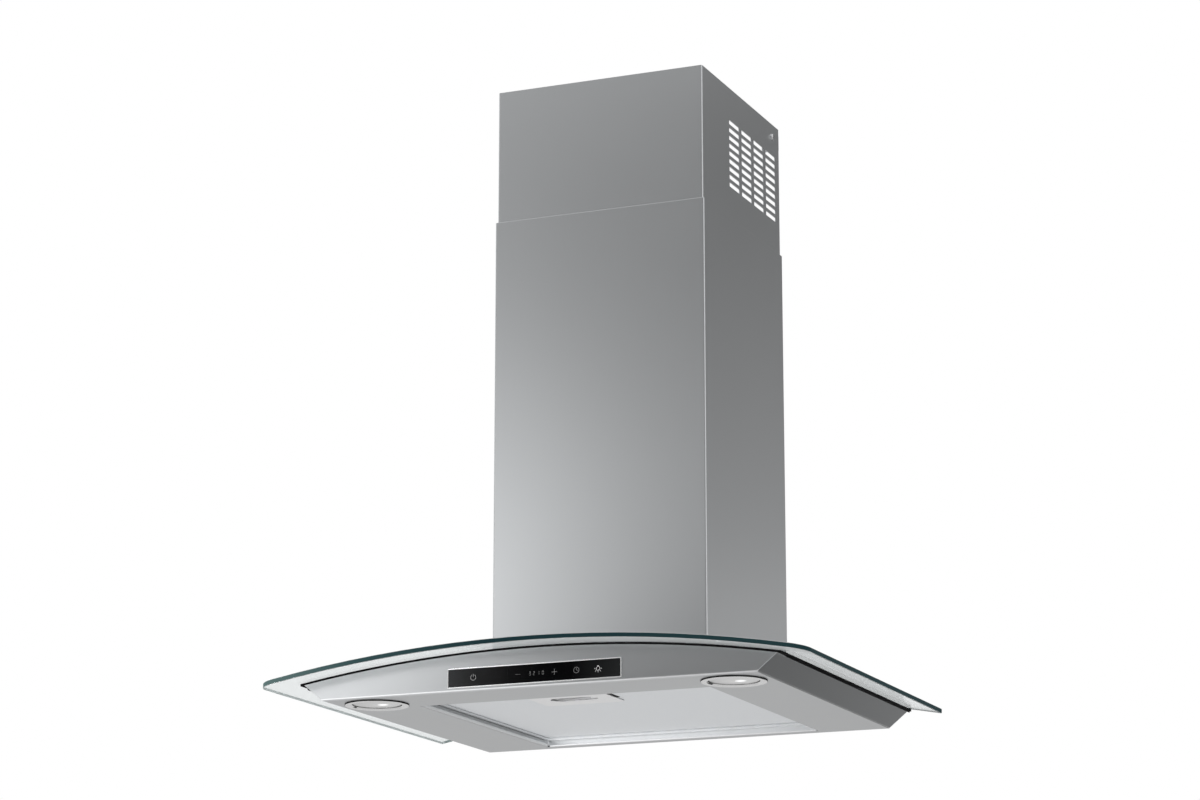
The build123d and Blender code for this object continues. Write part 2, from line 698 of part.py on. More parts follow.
def filter_media():
    """The pleated layer between the two meshes, with room for the latch."""
    low = FILTER_RECESS + FRAME_SHEET + MESH_THICK + 2 * LAYER_GAP + PLEAT_THICK
    high = FILTER_TOP - FRAME_SHEET - MESH_THICK - 2 * LAYER_GAP - PLEAT_THICK
    side = filter_side(FRAME_SHEET + FIT)
    folds = int(4 * side / PLEAT_PITCH)
    step = 2 * side / folds
    zigzag = Polyline([(-side + step * i, (low, high)[i % 2]) for i in range(folds + 1)])
    pleats = along_y(trace(zigzag, PLEAT_THICK), -FAR, 0)
    half = BAR_WIDTH / 2 + 2 * FIT
    bar_way = rectangle(LATCH_X - half, LATCH_X + half, FILTER_FRONT, LATCH_FRONT + LATCH_RIM)
    plan = layer_plan(FIT) - latch_opening(FIT) - bar_way
    return pleats & along_z(plan, FILTER_RECESS, FILTER_TOP)


def filter_back_mesh():
    high = FILTER_TOP - FRAME_SHEET - LAYER_GAP
    return along_z(layer_plan(FIT), high - MESH_THICK, high)


# Filter latch

def tongue_outline(margin):
    """The tongue's section in (x, z), with a margin round it."""
    level = SLIDER_LOW + SLIDER_THICK / 2
    width = TONGUE_WIDTH + 2 * margin
    return Pos(LATCH_X, level) * Rectangle(width, TONGUE_THICK + 2 * margin)


def bar_outline(margin):
    level = SLIDER_LOW + SLIDER_THICK / 2
    width = BAR_WIDTH + 2 * margin
    return Pos(LATCH_X, level) * Rectangle(width, BAR_THICK + 2 * margin)


def latch_housing():
    """A shallow tray whose face plate has the finger recess."""
    middle = Pos(LATCH_X, (LATCH_FRONT + LATCH_REAR) / 2)
    face = middle * RectangleRounded(LATCH_WIDTH, LATCH_DEPTH, LATCH_CORNER)
    recess = Pos(LATCH_X, recess_middle()) * SlotOverall(RECESS_LENGTH, RECESS_WIDTH)
    housing = along_z(face - recess, FILTER_RECESS, LATCH_FLOOR)
    walls = latch_opening(0) - latch_opening(-TRAY_SIDE)
    housing += along_z(walls, LATCH_FLOOR, LATCH_FLOOR + LATCH_ROOM)
    bar_way = bar_outline(FIT)
    return housing - along_y(bar_way, LATCH_FRONT, LATCH_FRONT + LATCH_RIM + TRAY_SIDE)


def recess_middle():
    return LATCH_FRONT + LATCH_RIM + TRAY_SIDE + SLIDER_DEPTH / 2


def slider_rear():
    return LATCH_FRONT + LATCH_RIM + TRAY_SIDE + FIT + SLIDER_DEPTH


def latch_slider():
    """The sliding plate, with a finger ridge below and a bar towards the front."""
    half = LATCH_WIDTH / 2 - LATCH_RIM - TRAY_SIDE - SLIDER_MARGIN
    plan = rectangle(LATCH_X - half, LATCH_X + half, slider_rear() - SLIDER_DEPTH, slider_rear())
    slider = along_z(plan, SLIDER_LOW, SLIDER_LOW + SLIDER_THICK)
    ridge = Pos(LATCH_X, recess_middle()) * Rectangle(RIDGE_LENGTH, RIDGE_THICK)
    slider += along_z(ridge, FILTER_RECESS, SLIDER_LOW)
    return slider + along_y(bar_outline(0), bar_front(), slider_rear() - SLIDER_DEPTH)


def bar_front():
    return FILTER_FRONT + FRAME_SHEET + 2 * FIT


def latch_tongue():
    """Thin spring steel on the bar's end, which snaps over the keeper."""
    return along_y(tongue_outline(0), TONGUE_TIP, bar_front())


def latch_spring():
    """A bow spring between the slider and the tray's rear wall."""
    rear = LATCH_REAR - LATCH_RIM - TRAY_SIDE - SPRING_THICK
    half = SPRING_WIDTH / 2
    crown = slider_rear() + SPRING_THICK
    bow = ThreePointArc((LATCH_X - half, rear), (LATCH_X, crown), (LATCH_X + half, rear))
    low = SLIDER_LOW + (SLIDER_THICK - SPRING_HEIGHT) / 2
    return along_z(trace(bow, SPRING_THICK), low, low + SPRING_HEIGHT)


# Motor box

def flange_places():
    """Screws through the motor box's front flange, square to the arch."""
    y = -BOX_DEPTH + STEEL + BOX_FLANGE / 2
    lift = Pos(0, 0, TOP_RADIUS + SEAT + STEEL)
    turn = degrees(FLANGE_SCREW_X / TOP_RADIUS)
    return [Pos(0, y, ARCH_Z) * Rot(0, side * turn, 0) * lift for side in (-1, 1)]


def motor_box():
    """Front and sides of the motor box, with a flange turned in along the arch."""
    half = BOX_WIDTH / 2
    outside = rectangle(-half, half, -BOX_DEPTH, -BACK_STEEL)
    inside = rectangle(-half + STEEL, half - STEEL, -BOX_DEPTH + STEEL, 0)
    inner = half - STEEL - BOX_FLANGE
    middle = rectangle(-inner, inner, -BOX_DEPTH + STEEL + BOX_FLANGE, 0)
    shell = along_z(outside - inside, 0, SCROLL_TOP)
    shell -= along_y(arch(TOP_RADIUS + SEAT), -FAR, FAR)
    base = TOP_RADIUS + SEAT
    flange = arched_layer(base, base + STEEL, (outside & inside) - middle)
    return shell + flange - screw_holes(flange_places(), FLANGE_GRIP)


def motor_box_back():
    half = BOX_WIDTH / 2
    back = rectangle(-half, half, 0, HANG_HEIGHT + BACK_MARGIN)
    back = fillet(back.vertices().sort_by(Axis.Y)[-2:], BACK_CORNER)
    back -= arch(TOP_RADIUS + SEAT)
    slot = SlotOverall(HANG_SLOT_LENGTH, 2 * HANG_SLOT_RADIUS)
    for side in (-1, 1):
        back -= Pos(side * HANG_SPACING / 2, HANG_HEIGHT) * slot
        back -= Pos(side * SAFETY_SPACING / 2, SAFETY_HEIGHT) * Circle(SAFETY_HOLE)
    return along_y(back, -BACK_STEEL, 0)


def spigot_places():
    radius = SPIGOT_RADIUS + SPIGOT_FLANGE / 2
    level = Pos(0, DUCT_Y, BOX_TOP + SPIGOT_FLANGE_THICK)
    return [level * place for place in PolarLocations(radius, SPIGOT_SCREWS, SPIGOT_SCREW_TURN)]


def scroll_places():
    x = SCROLL_SIDE + SCROLL_LIP / 2
    level = Pos(0, DUCT_Y, BOX_TOP)
    return [level * place for place in GridLocations(2 * x, SCROLL_SCREW_PITCH, 2, 2)]


def motor_box_top():
    half = BOX_WIDTH / 2
    plan = rectangle(-half, half, -BOX_DEPTH, -BACK_STEEL)
    plan -= Pos(0, DUCT_Y) * Rectangle(2 * SCROLL_HALF, THROAT_DEPTH)
    plan -= Pos(CAPACITOR_X, -CAPACITOR_Y) * Circle(STUD_RADIUS + SCREW_PLAY)
    top = along_z(plan, SCROLL_TOP, BOX_TOP)
    return top - screw_holes(spigot_places(), SPIGOT_GRIP) - screw_holes(scroll_places(), SCROLL_GRIP)


# Fan

def scroll_channel():
    """Air space of the scroll in (y, z): a four-centre spiral that opens upwards."""
    step = SCROLL_STEP / 2
    rear = SCROLL_FRONT + THROAT_DEPTH
    top = SCROLL_TOP + SCROLL_WALL
    start = (-FAN_Y + step, FAN_Z + step)
    start_radius = SCROLL_RADIUS - SCROLL_STEP
    rise = sqrt(start_radius**2 - (rear - start[0]) ** 2)
    tongue = (rear, start[1] + rise)
    turn = degrees(atan2(rise, rear - start[0])) - 90
    edges = [
        Line((SCROLL_FRONT, top), (SCROLL_FRONT, FAN_Z + step)),
        CenterArc((-FAN_Y - step, FAN_Z + step), SCROLL_RADIUS + 2 * SCROLL_STEP, 180, 90),
        CenterArc((-FAN_Y - step, FAN_Z - step), SCROLL_RADIUS + SCROLL_STEP, 270, 90),
        CenterArc((-FAN_Y + step, FAN_Z - step), SCROLL_RADIUS, 0, 90),
        CenterArc(start, start_radius, 90, turn),
        Line(tongue, (rear, top)),
        Line((rear, top), (SCROLL_FRONT, top)),
    ]
    return make_face(edges)


def on_fan_axis(piece):
    return Pos(0, -FAN_Y, FAN_Z) * piece


def arm_places():
    """Feet of the motor bracket's arms, round the fan's axis."""
    radius = ARM_RADIUS + ARM_FOOT / 2
    return [
        Pos(SCROLL_SIDE + ARM_THICK, -FAN_Y, FAN_Z)
        * Rot(90 + 360 / ARM_COUNT * i, 0, 0)
        * Pos(0, radius, 0)
        * Rot(0, 90, 0)
        for i in range(ARM_COUNT)
    ]


def scroll_half(side):
    channel = scroll_channel()
    wall = offset(channel, SCROLL_WALL, kind=Kind.INTERSECTION)
    half = along_x(wall, 0, SCROLL_SIDE) - along_x(channel, 0, SCROLL_HALF)
    rear = SCROLL_FRONT + THROAT_DEPTH
    lip = rectangle(SCROLL_SIDE, SCROLL_SIDE + SCROLL_LIP, SCROLL_FRONT, rear)
    half += along_z(lip, SCROLL_TOP - SCROLL_WALL, SCROLL_TOP)
    half -= along_z(rectangle(-FAR, FAR, -FAR, FAR), SCROLL_TOP, FAR)
    inlet = Pos(-FAN_Y, FAN_Z) * Circle(INLET_RADIUS)
    half -= along_x(inlet, SCROLL_HALF, SCROLL_SIDE)
    if side < 0:
        half = mirror(half, Plane.YZ)
    else:
        half -= screw_holes(arm_places(), ARM_GRIP)
    return half - screw_holes(scroll_places(), SCROLL_GRIP)


def inlet_ring(side):
    """Bell-mouthed ring that leads the air into the scroll."""
    throat = INLET_RADIUS - FIT - MOUTH_EDGE
    mouth = throat + MOUTH_ROUND
    edge = INLET_RADIUS - FIT
    profile = [
        Line((0, MOUTH_RIM), (MOUTH_EDGE, MOUTH_RIM)),
        Line((MOUTH_EDGE, MOUTH_RIM), (MOUTH_ROUND, mouth)),
        CenterArc((0, mouth), MOUTH_ROUND, 0, -90),
        Line((0, throat), (-MOUTH_SKIRT, throat)),
        Line((-MOUTH_SKIRT, throat), (-MOUTH_SKIRT, edge)),
        Line((-MOUTH_SKIRT, edge), (0, edge)),
        Line((0, edge), (0, MOUTH_RIM)),
    ]
    ring = Pos(SCROLL_SIDE, 0, 0) * revolve(make_face(profile), Axis.X)
    if side < 0:
        ring = mirror(ring, Plane.YZ)
    return on_fan_axis(ring)


def impeller():
    """Middle disc of the double-inlet fan wheel, with its hub."""
    disc = along_x(Circle(IMPELLER_RADIUS), -DISC_THICK / 2, DISC_THICK / 2)
    disc += along_x(Circle(HUB_RADIUS), -HUB_LENGTH / 2, HUB_LENGTH / 2)
    return on_fan_axis(disc - along_x(Circle(SHAFT_RADIUS), -HUB_LENGTH, HUB_LENGTH))


def impeller_blades():
    """Forward-curved blades on both sides of the disc, each set tied by a rim."""
    inside = IMPELLER_RADIUS - BLADE_DEPTH
    tip = IMPELLER_RADIUS - BLADE_INSET
    lean = radians(BLADE_SWEEP)
    curve = RadiusArc((inside, 0), (tip * cos(lean), tip * sin(lean)), BLADE_CURVE)
    blades = pattern(PolarLocations(0, BLADE_COUNT), trace(curve, BLADE_THICK))
    rim = Circle(IMPELLER_RADIUS) - Circle(IMPELLER_RADIUS - RIM_DEPTH)
    right = along_x(blades, DISC_THICK / 2, IMPELLER_HALF)
    right += along_x(rim, IMPELLER_HALF - RIM_WIDTH, IMPELLER_HALF)
    return [on_fan_axis(mirror(right, Plane.YZ)), on_fan_axis(right)]


def motor_shaft():
    end = MOTOR_START + SHAFT_DEPTH - FIT
    return on_fan_axis(along_x(Circle(SHAFT_RADIUS), -HUB_LENGTH / 2, end))


def motor_can():
    can = along_x(Circle(MOTOR_RADIUS), MOTOR_START + BOSS_LENGTH, MOTOR_END)
    can = chamfer(can.edges(), MOTOR_CHAMFER)
    can += along_x(Circle(BOSS_RADIUS), MOTOR_START, MOTOR_START + BOSS_LENGTH)
    bore = along_x(Circle(SHAFT_RADIUS + RUN), MOTOR_START, MOTOR_START + SHAFT_DEPTH)
    return on_fan_axis(can - bore)


def motor_bracket():
    """A plate on the motor's end with three arms that stand on the scroll."""
    plate = along_x(Circle(MOTOR_RADIUS) - Circle(RING_INSIDE), MOTOR_END, MOTOR_END + ARM_THICK)
    half = ARM_WIDTH / 2
    foot = SCROLL_SIDE + ARM_THICK
    spoke = rectangle(RING_INSIDE + ARM_THICK, ARM_RADIUS, -half, half)
    leg = rectangle(ARM_RADIUS - ARM_THICK, ARM_RADIUS, -half, half)
    sole = rectangle(ARM_RADIUS - ARM_THICK, ARM_RADIUS + ARM_FOOT, -half, half)
    arm = along_x(spoke, MOTOR_END, MOTOR_END + ARM_THICK)
    arm += along_x(leg, SCROLL_SIDE, MOTOR_END)
    arm += along_x(sole, SCROLL_SIDE, foot)
    for i in range(ARM_COUNT):
        plate += Rot(90 + 360 / ARM_COUNT * i, 0, 0) * arm
    return on_fan_axis(plate) - screw_holes(arm_places(), ARM_GRIP)


def capacitor():
    """A canister that hangs from the motor box's top by its stud."""
    body = along_z(Circle(CAPACITOR_RADIUS), SCROLL_TOP - CAPACITOR_LENGTH, SCROLL_TOP)
    body = chamfer(body.edges().sort_by(Axis.Z)[0], CAPACITOR_CHAMFER)
    stud = along_z(Circle(STUD_RADIUS), SCROLL_TOP, SCROLL_TOP + STUD_LENGTH)
    return Pos(CAPACITOR_X, -CAPACITOR_Y, 0) * (body + stud)


def capacitor_nut():
    across = RegularPolygon(NUT_ACROSS / 2, 6, major_radius=False)
    nut = along_z(across - Circle(STUD_RADIUS + SEAT), BOX_TOP, BOX_TOP + NUT_HEIGHT)
    return Pos(CAPACITOR_X, -CAPACITOR_Y, 0) * nut


# Control box

def control_plan(inset):
    half = CONTROL_WIDTH / 2 - inset
    rear = -CONTROL_WALL_GAP - inset
    return rectangle(-half, half, -CONTROL_WALL_GAP - CONTROL_DEPTH + inset, rear)


def control_middle():
    return -CONTROL_WALL_GAP - CONTROL_DEPTH / 2


def control_box():
    box = along_z(control_plan(0), BOX_TOP, BOX_TOP + CONTROL_HEIGHT)
    box -= along_z(control_plan(CONTROL_WALL), BOX_TOP + CONTROL_WALL, BOX_TOP + CONTROL_HEIGHT)
    posts = pattern(lid_plan(), Circle(SCREW_HEAD))
    box += along_z(posts, BOX_TOP + CONTROL_WALL, BOX_TOP + CONTROL_HEIGHT)
    return box - screw_holes(lid_places(), LID_SCREW_LENGTH + LID_THICK)


def lid_plan():
    """The lid's screws, in two opposite corners."""
    x = CONTROL_WIDTH / 2 - LID_SCREW_INSET
    y = CONTROL_DEPTH / 2 - LID_SCREW_INSET
    return [Pos(side * x, control_middle() - side * y) for side in (-1, 1)]


def lid_places():
    level = Pos(0, 0, BOX_TOP + CONTROL_HEIGHT + LID_THICK)
    return [level * place for place in lid_plan()]


def control_lid():
    top = BOX_TOP + CONTROL_HEIGHT
    hole = Pos(0, control_middle()) * Circle(GLAND_RADIUS + SCREW_PLAY)
    lid = along_z(control_plan(0) - hole, top, top + LID_THICK)
    return lid - screw_holes(lid_places(), LID_THICK)


def cable_gland():
    """Threaded cable gland in the control box's lid: hexagon, dome and bore."""
    hexagon = RegularPolygon(GLAND_ACROSS / 2, 6, major_radius=False)
    gland = extrude(hexagon, GLAND_HEX)
    dome = Pos(0, 0, GLAND_HEX + GLAND_DOME / 2) * Cylinder(GLAND_ACROSS / 2, GLAND_DOME)
    dome = chamfer(dome.edges().sort_by(Axis.Z)[-1], GLAND_CHAMFER)
    gland += dome
    gland += Pos(0, 0, -LID_THICK) * Cylinder(GLAND_RADIUS, 2 * LID_THICK)
    gland -= Cylinder(GLAND_BORE, FAR)
    return Pos(0, control_middle(), BOX_TOP + CONTROL_HEIGHT + LID_THICK) * gland


# Outlet

def axle_z():
    return BOX_TOP + AXLE_HEIGHT


def outlet_spigot():
    """Round duct spigot with a ledge and bosses for the non-return flaps."""
    ledge_top = AXLE_HEIGHT - FLAP_THICK / 2 - FLAP_LIFT
    profile = Polyline(
        (SPIGOT_BORE, 0),
        (SPIGOT_RIM, 0),
        (SPIGOT_RIM, SPIGOT_FLANGE_THICK),
        (SPIGOT_RADIUS, SPIGOT_FLANGE_THICK),
        (SPIGOT_RADIUS, SPIGOT_HEIGHT - SPIGOT_CHAMFER),
        (SPIGOT_RADIUS - SPIGOT_CHAMFER, SPIGOT_HEIGHT),
        (SPIGOT_BORE, SPIGOT_HEIGHT),
        (SPIGOT_BORE, ledge_top),
        (SPIGOT_BORE - LEDGE_WIDTH, ledge_top),
        (SPIGOT_BORE - LEDGE_WIDTH, ledge_top - LEDGE_THICK),
        (SPIGOT_BORE, ledge_top - LEDGE_THICK),
        close=True,
    )
    spigot = revolve(Plane.XZ * make_face(profile), Axis.Z)
    reach = SPIGOT_BORE + SPIGOT_WALL / 2
    level = Pos(0, AXLE_HEIGHT)
    boss = along_y(level * Circle(AXLE_BOSS), SPIGOT_BORE - AXLE_BOSS_LENGTH, reach)
    spigot += boss + Rot(0, 0, 180) * boss
    hole = level * Circle(AXLE_RADIUS + SEAT)
    spigot -= along_y(hole, -reach, reach)
    return Pos(0, DUCT_Y, BOX_TOP) * spigot - screw_holes(spigot_places(), SPIGOT_GRIP)


def flap_axle():
    reach = SPIGOT_BORE + SPIGOT_WALL / 2 - SEAT
    axle = along_y(Pos(0, axle_z()) * Circle(AXLE_RADIUS), -reach, reach)
    return Pos(0, DUCT_Y, 0) * axle


def flap(turn):
    """Half-round flap with two knuckles on the axle."""
    disc = Circle(SPIGOT_BORE - FLAP_PLAY) & rectangle(-FAR, -FLAP_START, -FAR, FAR)
    half = along_z(disc, -FLAP_THICK / 2, FLAP_THICK / 2)
    for y in KNUCKLES:
        front = y - KNUCKLE_LENGTH / 2
        rear = y + KNUCKLE_LENGTH / 2
        web = rectangle(-FLAP_START, -KNUCKLE_RADIUS / 2, front, rear)
        half += along_z(web, -FLAP_THICK / 2, FLAP_THICK / 2)
        half += along_y(Circle(KNUCKLE_RADIUS), front, rear)
    half -= along_y(Circle(AXLE_RADIUS + RUN), -FAR, FAR)
    return Pos(0, DUCT_Y, axle_z()) * Rot(0, 0, turn) * half


# Screws

def screws(places, length):
    return [place * screw(length) for place in places]


def write(name, piece):
    """Write a piece, or a group of like pieces, with the origin at the wall slots."""
    solids = piece if isinstance(piece, list) else [piece]
    placed = [Pos(0, 0, -HANG_HEIGHT) * solid for solid in solids]
    whole = placed[0] if len(placed) == 1 else Compound(children=placed)
    export_step(whole, f"parts/{name}.step")


PIECES = {
    "front_panel": front_panel(),
    "left_side_panel": side_panel(-1),
    "right_side_panel": side_panel(1),
    "rear_panel": rear_panel(),
    "bottom_panel": bottom_panel(),
    "top_plate": top_plate(),
    "glass_canopy": glass_canopy(),
    "glass_gasket": glass_gasket(),
    "touch_bezel": touch_bezel(),
    "touch_glass": touch_glass(),
    "touch_tray": touch_tray(),
    "touch_board": touch_board(),
    "lower_duct_cover": lower_duct_cover(),
    "cover_stay": cover_stay(),
    "upper_duct_cover": upper_duct_cover(),
    "left_upper_bracket": upper_bracket(-1),
    "right_upper_bracket": upper_bracket(1),
    "upper_cover_screws": screws(cover_screw_places(), COVER_GRIP),
    "filter_frame": filter_frame(),
    "filter_face_mesh": filter_face_mesh(),
    "filter_media": filter_media(),
    "filter_back_mesh": filter_back_mesh(),
    "filter_pegs": filter_pegs(),
    "latch_housing": latch_housing(),
    "latch_slider": latch_slider(),
    "latch_tongue": latch_tongue(),
    "latch_spring": latch_spring(),
    "motor_box": motor_box(),
    "motor_box_back": motor_box_back(),
    "motor_box_top": motor_box_top(),
    "motor_box_screws": screws(flange_places(), FLANGE_GRIP),
    "left_scroll": scroll_half(-1),
    "right_scroll": scroll_half(1),
    "scroll_screws": screws(scroll_places(), SCROLL_GRIP),
    "left_inlet_ring": inlet_ring(-1),
    "right_inlet_ring": inlet_ring(1),
    "impeller": impeller(),
    "impeller_blades": impeller_blades(),
    "motor_shaft": motor_shaft(),
    "motor_can": motor_can(),
    "motor_bracket": motor_bracket(),
    "bracket_screws": screws(arm_places(), ARM_GRIP),
    "capacitor": capacitor(),
    "capacitor_nut": capacitor_nut(),
    "control_box": control_box(),
    "control_lid": control_lid(),
    "lid_screws": screws(lid_places(), LID_SCREW_LENGTH),
    "cable_gland": cable_gland(),
    "outlet_spigot": outlet_spigot(),
    "spigot_screws": screws(spigot_places(), SPIGOT_GRIP),
    "flap_axle": flap_axle(),
    "lamp_clips": lamp_clips(),
    "left_flap": flap(0),
    "right_flap": flap(180),
}
for label, side in (("left", -1), ("right", 1)):
    place = lamp_place(side)
    PIECES[f"{label}_lamp_ring"] = place * lamp_ring()
    PIECES[f"{label}_lamp_lens"] = place * lamp_lens()
    PIECES[f"{label}_lamp_puck"] = place * lamp_puck()

os.makedirs("parts", exist_ok=True)
for name, piece in PIECES.items():
    write(name, piece)
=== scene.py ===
import json
from math import asin, cos, pi, radians, sin

import bpy
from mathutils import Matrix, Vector

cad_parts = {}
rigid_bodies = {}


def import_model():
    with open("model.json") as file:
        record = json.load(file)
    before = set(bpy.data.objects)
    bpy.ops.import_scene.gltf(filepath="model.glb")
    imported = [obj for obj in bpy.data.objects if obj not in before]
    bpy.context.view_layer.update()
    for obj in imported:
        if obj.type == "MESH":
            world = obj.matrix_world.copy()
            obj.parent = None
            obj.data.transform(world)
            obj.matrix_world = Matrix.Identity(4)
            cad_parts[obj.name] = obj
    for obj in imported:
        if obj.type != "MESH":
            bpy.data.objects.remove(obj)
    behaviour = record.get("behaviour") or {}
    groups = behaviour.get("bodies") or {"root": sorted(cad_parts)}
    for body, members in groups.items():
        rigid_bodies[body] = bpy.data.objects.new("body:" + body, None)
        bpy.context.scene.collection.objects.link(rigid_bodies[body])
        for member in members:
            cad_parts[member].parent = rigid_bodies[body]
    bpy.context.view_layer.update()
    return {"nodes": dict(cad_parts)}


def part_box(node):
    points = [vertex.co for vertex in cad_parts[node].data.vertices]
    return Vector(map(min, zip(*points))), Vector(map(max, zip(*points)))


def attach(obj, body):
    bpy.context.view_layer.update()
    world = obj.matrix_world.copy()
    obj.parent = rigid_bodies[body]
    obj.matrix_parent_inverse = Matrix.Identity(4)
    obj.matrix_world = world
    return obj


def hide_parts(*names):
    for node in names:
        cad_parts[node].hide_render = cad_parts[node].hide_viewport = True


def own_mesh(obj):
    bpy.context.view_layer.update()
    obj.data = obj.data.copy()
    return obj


# A wall-mounted chimney range hood with an arched glass canopy.
# Metres: X runs to the right, Y towards the wall, Z up. The origin is in the middle of the wall slots.

MM = 0.001
UNDERSIDE = -0.340  # level of the hood's underside

# Camera
CAMERA_PLACE = (1.3766, -3.4886, -0.8820)
CAMERA_YAW = 22.973  # in degrees
CAMERA_PITCH = 13.969  # in degrees, above the level
CAMERA_LENS = 101.66
SENSOR_WIDTH = 36.0

# Studio
SKY_LIGHT = 0.72  # what the white surroundings give to matt surfaces
KEY_PLACE = (-1.4, -2.0, 1.7)
KEY_SIZE = 1.5
KEY_POWER = 22.0
FLOOR_LEVEL = -4.4
FLOOR_RADIUS = 60.0
FLOOR_STEPS = 96
FLOOR_COLOR = (0.82, 0.82, 0.82)
FLOOR_ROUGHNESS = 0.8
FLOOR_UNEVEN = 3.0
FLOOR_SPREAD = 0.01

for leftover in list(bpy.data.objects):
    bpy.data.objects.remove(leftover)
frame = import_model()
NODES = frame["nodes"]
scene = bpy.context.scene
scene.view_settings.view_transform = "Standard"


# Materials
MIX_INPUTS = (0, 6, 7)  # a colour Mix node's factor and its two colours
MIX_RESULT = 2
NOISE_ROUGHNESS = 0.55


class Look:
    """A material built from the Principled shader, with short ways to add texture nodes."""

    def __init__(self, name, color, metallic=0.0, roughness=0.5, **sockets):
        self.material = bpy.data.materials.new(name)
        self.material.use_nodes = True
        self.tree = self.material.node_tree
        self.shader = self.tree.nodes["Principled BSDF"]
        self.shader.inputs["Base Color"].default_value = (*color, 1.0)
        self.shader.inputs["Metallic"].default_value = metallic
        self.shader.inputs["Roughness"].default_value = roughness
        for socket, value in sockets.items():
            self.shader.inputs[socket.replace("_", " ")].default_value = value
        self.color = color

    def link(self, source, target):
        self.tree.links.new(source, target)

    def node(self, kind, **settings):
        made = self.tree.nodes.new("ShaderNode" + kind)
        for name, value in settings.items():
            setattr(made, name, value)
        return made

    def place(self, scale):
        """Object coordinates, stretched."""
        coords = self.node("TexCoord")
        mapping = self.node("Mapping")
        mapping.inputs["Scale"].default_value = scale
        self.link(coords.outputs["Object"], mapping.inputs["Vector"])
        return mapping.outputs["Vector"]

    def axes(self):
        coords = self.node("TexCoord")
        split = self.node("SeparateXYZ")
        self.link(coords.outputs["Object"], split.inputs[0])
        return split.outputs

    def noise(self, scale, stretch=(1, 1, 1), detail=3.0):
        made = self.node("TexNoise")
        made.inputs["Scale"].default_value = scale
        made.inputs["Detail"].default_value = detail
        made.inputs["Roughness"].default_value = NOISE_ROUGHNESS
        self.link(self.place(stretch), made.inputs["Vector"])
        return made.outputs["Fac"]

    def cells(self, scale, output="Color", stretch=(1, 1, 1), feature="F1"):
        made = self.node("TexVoronoi", feature=feature)
        made.inputs["Scale"].default_value = scale
        self.link(self.place(stretch), made.inputs["Vector"])
        return made.outputs[output]

    def math(self, operation, *values):
        made = self.node("Math", operation=operation)
        for socket, value in zip(made.inputs, values):
            if isinstance(value, (int, float)):
                socket.default_value = value
            else:
                self.link(value, socket)
        return made.outputs[0]

    def span(self, value, low, high, start=0.0, end=1.0):
        """Carries a value from start..end over to low..high."""
        made = self.node("MapRange")
        made.inputs["From Min"].default_value = start
        made.inputs["From Max"].default_value = end
        made.inputs["To Min"].default_value = low
        made.inputs["To Max"].default_value = high
        self.link(value, made.inputs["Value"])
        return made.outputs["Result"]

    def rise(self, value, start, end):
        """From 0 at the start to 1 at the end."""
        return self.span(value, 0.0, 1.0, start, end)

    def fall(self, value, start, end):
        """From 1 at the start to 0 at the end."""
        return self.span(value, 1.0, 0.0, start, end)

    def ramp(self, value, stops):
        made = self.node("ValToRGB")
        elements = made.color_ramp.elements
        while len(elements) < len(stops):
            elements.new(0.5)
        for element, (position, color) in zip(elements, stops):
            element.position = position
            element.color = (*color, 1.0)
        self.link(value, made.inputs["Fac"])
        return made.outputs["Color"]

    def mix(self, factor, first, second):
        made = self.node("Mix", data_type="RGBA")
        for index, value in zip(MIX_INPUTS, (factor, first, second)):
            if isinstance(value, tuple):
                made.inputs[index].default_value = (*value, 1.0)
            else:
                self.link(value, made.inputs[index])
        return made.outputs[MIX_RESULT]

    def tint(self, value, spread):
        """The base colour, darker and lighter by a spread as the value runs from 0 to 1."""
        dark = tuple(c * (1 - spread) for c in self.color)
        light = tuple(min(1.0, c * (1 + spread)) for c in self.color)
        return self.put("Base Color", self.mix(value, dark, light))

    def put(self, socket, value):
        self.link(value, self.shader.inputs[socket])
        return self

    def rough(self, value, low, high):
        return self.put("Roughness", self.span(value, low, high))

    def bump(self, value, depth):
        made = self.node("Bump")
        made.inputs["Distance"].default_value = depth
        self.link(value, made.inputs["Height"])
        return self.put("Normal", made.outputs["Normal"])


def grey(level):
    return (level, level, level)


BRUSH_DETAIL = 4.0
BRUSH_SPREAD = 0.015  # of the tone
BRUSH_SHARE = 0.6  # of the fine lines in the roughness, beside the smears
BRUSH_DEPTH = 2e-6
SMEAR_SCALE = 5.0
SMEAR_DETAIL = 2.0
SATIN_SPREAD = 0.05  # of the roughness, up and down


def brushed(name, color, roughness, stretch, tinted=True):
    """Satin metal with very fine brushing lines and faint broad smears."""
    look = Look(name, color, metallic=1.0)
    lines = look.noise(1.0, stretch, BRUSH_DETAIL)
    smears = look.math("MULTIPLY", look.noise(SMEAR_SCALE, detail=SMEAR_DETAIL), 1 - BRUSH_SHARE)
    both = look.math("ADD", look.math("MULTIPLY", lines, BRUSH_SHARE), smears)
    if tinted:
        look.tint(lines, BRUSH_SPREAD)
    look.rough(both, roughness - SATIN_SPREAD, roughness + SATIN_SPREAD)
    return look.bump(lines, BRUSH_DEPTH)


ZINC_COLOR = (0.56, 0.575, 0.585)
ZINC_ROUGHNESS = (0.34, 0.52)
ZINC_GRAIN = 700.0
ZINC_DEPTH = 1.2e-5
SPANGLE_SCALE = 110.0
SPANGLE_SPREAD = 0.14


def galvanised():
    look = Look("galvanised_zinc", ZINC_COLOR, metallic=1.0)
    tone = look.node("RGBToBW")
    look.link(look.cells(SPANGLE_SCALE), tone.inputs[0])
    spangle = tone.outputs[0]
    look.tint(spangle, SPANGLE_SPREAD)
    look.rough(spangle, *ZINC_ROUGHNESS)
    return look.bump(look.noise(ZINC_GRAIN), ZINC_DEPTH)


